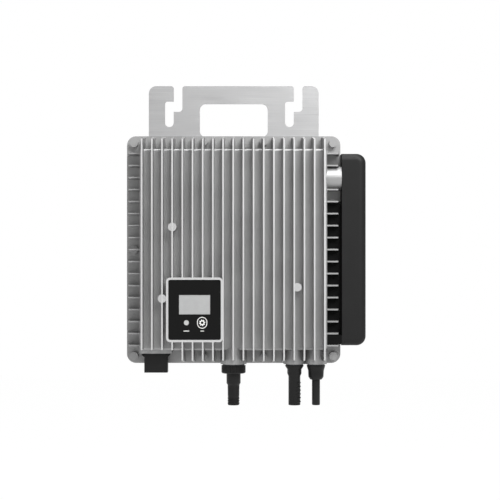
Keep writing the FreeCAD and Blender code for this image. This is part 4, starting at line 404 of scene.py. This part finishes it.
def moulded(name, dark, light, grain_mm, rough, strength):
    """Injection-moulded plastic with a grain of the size given and slower flow marks in its tone."""
    material, tree, shader, where = new_material(name, IOR=1.53, Specular_IOR_Level=0.25)
    grain = add_node(tree, "TexNoise", {"Vector": where, "Scale": MM / grain_mm,
                                        "Detail": 3.0, "Roughness": 0.6}).outputs[0]
    flow = add_node(tree, "TexNoise", {"Vector": where, "Scale": MM / MOULD_FLOW_MM, "Detail": 2.0}).outputs[0]
    spread = add_node(tree, "MapRange", {"Value": flow, "From Min": NOISE_LOW, "From Max": NOISE_HIGH})
    tone = add_node(tree, "Mix", {0: spread.outputs[0], COLOUR_A: linear(dark), COLOUR_B: linear(light)},
                    data_type="RGBA").outputs[COLOUR_OUT]
    tree.links.new(tone, shader.inputs["Base Color"])
    gloss = add_node(tree, "MapRange", {"Value": grain, "From Min": NOISE_LOW, "From Max": NOISE_HIGH,
                                        "To Min": rough - 0.06, "To Max": rough + 0.1})
    tree.links.new(gloss.outputs[0], shader.inputs["Roughness"])
    relief = add_node(tree, "Bump", {"Height": grain, "Strength": strength, "Distance": 0.15 / MM})
    tree.links.new(relief.outputs[0], shader.inputs["Normal"])
    return material


nylon = moulded("glass_filled_nylon", "#0f0f0f", "#141414", 0.45, 0.42, 0.25)
dress(nylon, "port_socket", "port_cap", "ac_receptacle", "ac_contact_block", "ac_lock_ring", "ac_sleeve",
      "dc_plus_body", "dc_plus_nut", "dc_minus_body", "dc_minus_nut", "button_switch", "display_header")

# Contacts are turned brass with a thin tin and gold flash, whose turning marks run around them, so
# the marks are fine along the contact and wide across it.
flash = mottled("plated_contact_brass", "#c9b98a", "#d8ccab", (2.0, 2.0, 0.15), 2.0, rough=(0.2, 0.38), Metallic=1.0)
dress(flash, "port_contacts", "ac_contacts", "dc_plus_pin", "dc_minus_tube", "solar_tabs")

# The cable ends of the connectors are nylon sleeves that stop 49 mm under the flange. The mains and
# negative ones are turned forms with a long plain middle, which is shortened to that length.
PLUG_LONG = 0.049
PLAIN_BELOW = 0.030
SAME_POINT = 1e-6
CRISP_ANGLE = math.radians(35)
flange_bottom = housing_low.z


def crisp(shape):
    """Smooth shading that keeps the sharper edges."""
    for face in shape.faces:
        face.smooth = True
    for edge in shape.edges:
        edge.smooth = len(edge.link_faces) == 2 and edge.calc_face_angle(0) < CRISP_ANGLE


shorter_by = (flange_bottom - cad_low.z) - PLUG_LONG
for node, slot, material in (("ac_sleeve", "black_plastic", nylon), ("dc_minus_body", "black_plastic", nylon),
                             ("dc_minus_tube", "contact_metal", flash), ("dc_plus_pin", "contact_metal", flash)):
    end = bmesh.new()
    end.from_mesh(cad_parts[node].data)
    bmesh.ops.remove_doubles(end, verts=end.verts, dist=SAME_POINT)
    lower = [v for v in end.verts if v.co.z < flange_bottom - PLAIN_BELOW]
    bmesh.ops.translate(end, verts=lower, vec=(0, 0, shorter_by))
    crisp(end)
    piece = keep_piece(node + "_short", end, "inverter", slot, material)
    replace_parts(piece, node)

# The positive connector's sleeve is wider, with a deep mouth around its pin and six low grip ribs
# that run part of the way round its right side, under a stepped collar.
BORE_R, MOUTH_R, TUBE_R = 0.0020, 0.0054, 0.0071
NECK_R, COLLAR_R, LIP_R = 0.0069, 0.0085, 0.0110
MOUTH_TOP = -0.0170
COLLAR_FOOT, COLLAR_LOW, COLLAR_HIGH = -0.0145, -0.0115, -0.0065
LIP_LOW, LIP_HIGH = -0.0026, -0.0016
END_BEVEL = 0.0004
BEVEL_TOP = END_BEVEL - PLUG_LONG
plus_low, plus_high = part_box("dc_plus_body")
plus_axis = Vector(((plus_low.x + plus_high.x) / 2, (plus_low.y + plus_high.y) / 2, flange_bottom))
plus_top = plus_high.z - flange_bottom
# The section's corners, each a radius and a height above the flange's lower edge.
PLUS_SECTION = ((BORE_R, plus_top), (BORE_R, MOUTH_TOP), (MOUTH_R, MOUTH_TOP), (MOUTH_R, BEVEL_TOP),
                (MOUTH_R + END_BEVEL, -PLUG_LONG), (TUBE_R - END_BEVEL, -PLUG_LONG), (TUBE_R, BEVEL_TOP),
                (TUBE_R, COLLAR_FOOT), (COLLAR_R, COLLAR_LOW), (COLLAR_R, COLLAR_HIGH),
                (LIP_R, LIP_LOW), (LIP_R, LIP_HIGH), (NECK_R, LIP_HIGH), (NECK_R, plus_top))
plus = bmesh.new()
profile = [plus.verts.new((r, 0, z)) for r, z in PLUS_SECTION]
loop = [plus.edges.new(pair) for pair in zip(profile, profile[1:] + profile[:1])]
bmesh.ops.spin(plus, geom=profile + loop, cent=(0, 0, 0), axis=(0, 0, 1), angle=math.tau, steps=72, use_merge=True)

RIB_COUNT = 6
RIB_TURN = math.radians(150)
RIB_FIRST = 0.003
RIB_PITCH = 0.0045
RIB_HALF = 0.0010
RIB_CREST_HALF = 0.00035
RIB_ROOT_R, RIB_CREST_R = 0.0068, 0.0077
RIB_SECTION = ((RIB_ROOT_R, -RIB_HALF), (TUBE_R, -RIB_HALF), (RIB_CREST_R, -RIB_CREST_HALF),
               (RIB_CREST_R, RIB_CREST_HALF), (TUBE_R, RIB_HALF), (RIB_ROOT_R, RIB_HALF))
for count in range(RIB_COUNT):
    level = -PLUG_LONG + RIB_FIRST + RIB_HALF + count * RIB_PITCH
    rib = [plus.verts.new((r, 0, level + z)) for r, z in RIB_SECTION]
    start = plus.faces.new(rib)
    bmesh.ops.rotate(plus, verts=rib, cent=(0, 0, 0), matrix=Matrix.Rotation(-RIB_TURN / 2, 3, "Z"))
    bmesh.ops.spin(plus, geom=[start], cent=(0, 0, 0), axis=(0, 0, 1), angle=RIB_TURN, steps=30)
bmesh.ops.recalc_face_normals(plus, faces=plus.faces)
bmesh.ops.translate(plus, verts=plus.verts, vec=plus_axis)
crisp(plus)
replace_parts(keep_piece("dc_plus_sleeve", plus, "inverter", "black_plastic", nylon), "dc_plus_body")

# The wiring box is moulded in black polycarbonate blend, with a leather-fine grain on its outer
# faces, and its lid is the same.
box_plastic = moulded("grained_black_box", "#131313", "#171717", 0.6, 0.5, 0.3)
dress(box_plastic, "wiring_box_shell", "wiring_box_lid")

# The tongue that passes under the side fins reflects less than the box, a painted shade standing in
# for the shadow of the fins over it, so its mirror part fades out to the left of the box.
FADE_HALF = 0.0005
lid_low, lid_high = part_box("wiring_box_lid")
tree = box_plastic.node_tree
where = add_node(tree, "TexCoord", {}).outputs["Object"]
across = add_node(tree, "SeparateXYZ", {"Vector": where}).outputs["X"]
# Painted shade: left of the box the reflection drops, darkening the tongue under the fins.
painted_shade_reflection = add_node(tree, "MapRange", {"Value": across, "From Min": lid_low.x - FADE_HALF,
                                     "From Max": lid_low.x + FADE_HALF, "To Min": 0.03, "To Max": 0.25})
tree.links.new(painted_shade_reflection.outputs[0], tree.nodes["Principled BSDF"].inputs["Specular IOR Level"])

# The terminal block inside the wiring box is moulded in grey nylon, in one piece with the cages of
# its clamping screws.
dress(moulded("grey_terminal_nylon", "#6d7274", "#777c7e", 0.5, 0.45, 0.2), "terminal_block")

# The boards are glass-epoxy laminate under green solder mask, with rows of tinned pads, and the
# parts that stand on them are inside the sealed housing.
WEAVE_MM = 1.2
PAD_PITCH_MM = 2.54
PAD_OUTER, PAD_INNER = 0.16, 0.12
mask, tree, shader, where = new_material("green_solder_mask", Roughness=0.3, IOR=1.55, Coat_Weight=0.3,
                                         Coat_Roughness=0.15)
weave = add_node(tree, "TexNoise", {"Vector": where, "Scale": MM / WEAVE_MM, "Detail": 4.0}).outputs[0]
upright = add_node(tree, "Mapping", {"Vector": where, "Rotation": FACE_FRONT}).outputs[0]
pads = add_node(tree, "TexVoronoi", {"Vector": upright, "Scale": MM / PAD_PITCH_MM}, voronoi_dimensions="2D")
woven = add_node(tree, "MapRange", {"Value": weave, "From Min": NOISE_LOW, "From Max": NOISE_HIGH})
tinned = add_node(tree, "MapRange", {"Value": pads.outputs["Distance"], "From Min": PAD_OUTER, "From Max": PAD_INNER})
green = add_node(tree, "Mix", {0: woven.outputs[0], COLOUR_A: linear("#0f4a26"), COLOUR_B: linear("#18602f")},
                 data_type="RGBA").outputs[COLOUR_OUT]
board = add_node(tree, "Mix", {0: tinned.outputs[0], COLOUR_A: green, COLOUR_B: linear("#b9bcb8")}, data_type="RGBA")
tree.links.new(board.outputs[COLOUR_OUT], shader.inputs["Base Color"])
dress(mask, "main_board", "display_board")

# The transformer cores are ferrite, pressed and sintered, with small pits. The coils on them and the
# choke are enamelled copper wire, wound in close turns.
dress(mottled("sintered_ferrite", "#2d2d2f", "#3b3b3d", 0.8, 6.0, Roughness=0.55, IOR=1.8), "transformer_cores")

WIRE_PITCH_MM = 1.2
copper, tree, shader, where = new_material("enamelled_copper_wire", Metallic=0.8, Roughness=0.32, Coat_Weight=0.6)
turns = add_node(tree, "TexWave", {"Vector": where, "Scale": MM / WIRE_PITCH_MM, "Distortion": 0.4},
                 bands_direction="Z").outputs[1]
tone = add_node(tree, "Mix", {0: turns, COLOUR_A: linear("#8a3d18"), COLOUR_B: linear("#c8733a")}, data_type="RGBA")
tree.links.new(tone.outputs[COLOUR_OUT], shader.inputs["Base Color"])
relief = add_node(tree, "Bump", {"Height": turns, "Strength": 0.6, "Distance": 0.4 / MM})
tree.links.new(relief.outputs[0], shader.inputs["Normal"])
dress(copper, "transformer_coils", "filter_choke")

# The bulk capacitors are aluminium cans in a shrunk plastic sleeve, creased along its length. The
# film capacitors, relays and chips are moulded, and the heat pad is a soft filled sheet.
sleeve = mottled("capacitor_shrink_sleeve", "#181b26", "#242838", (6.0, 6.0, 20.0), 3.0, Roughness=0.3,
                 Coat_Weight=0.3)
dress(sleeve, "bulk_capacitors")
dress(moulded("film_capacitor_box", "#a8781f", "#b58328", 0.5, 0.45, 0.15), "film_capacitors")
dress(moulded("relay_case_plastic", "#1c1f28", "#242834", 0.5, 0.3, 0.1), "mains_relays")
dress(moulded("moulded_epoxy", "#141414", "#1b1b1b", 0.3, 0.55, 0.25), "controller_chips", "power_transistors")
dress(moulded("soft_heat_pad", "#6f7c8c", "#7c8998", 0.7, 0.7, 0.2), "heat_pad")
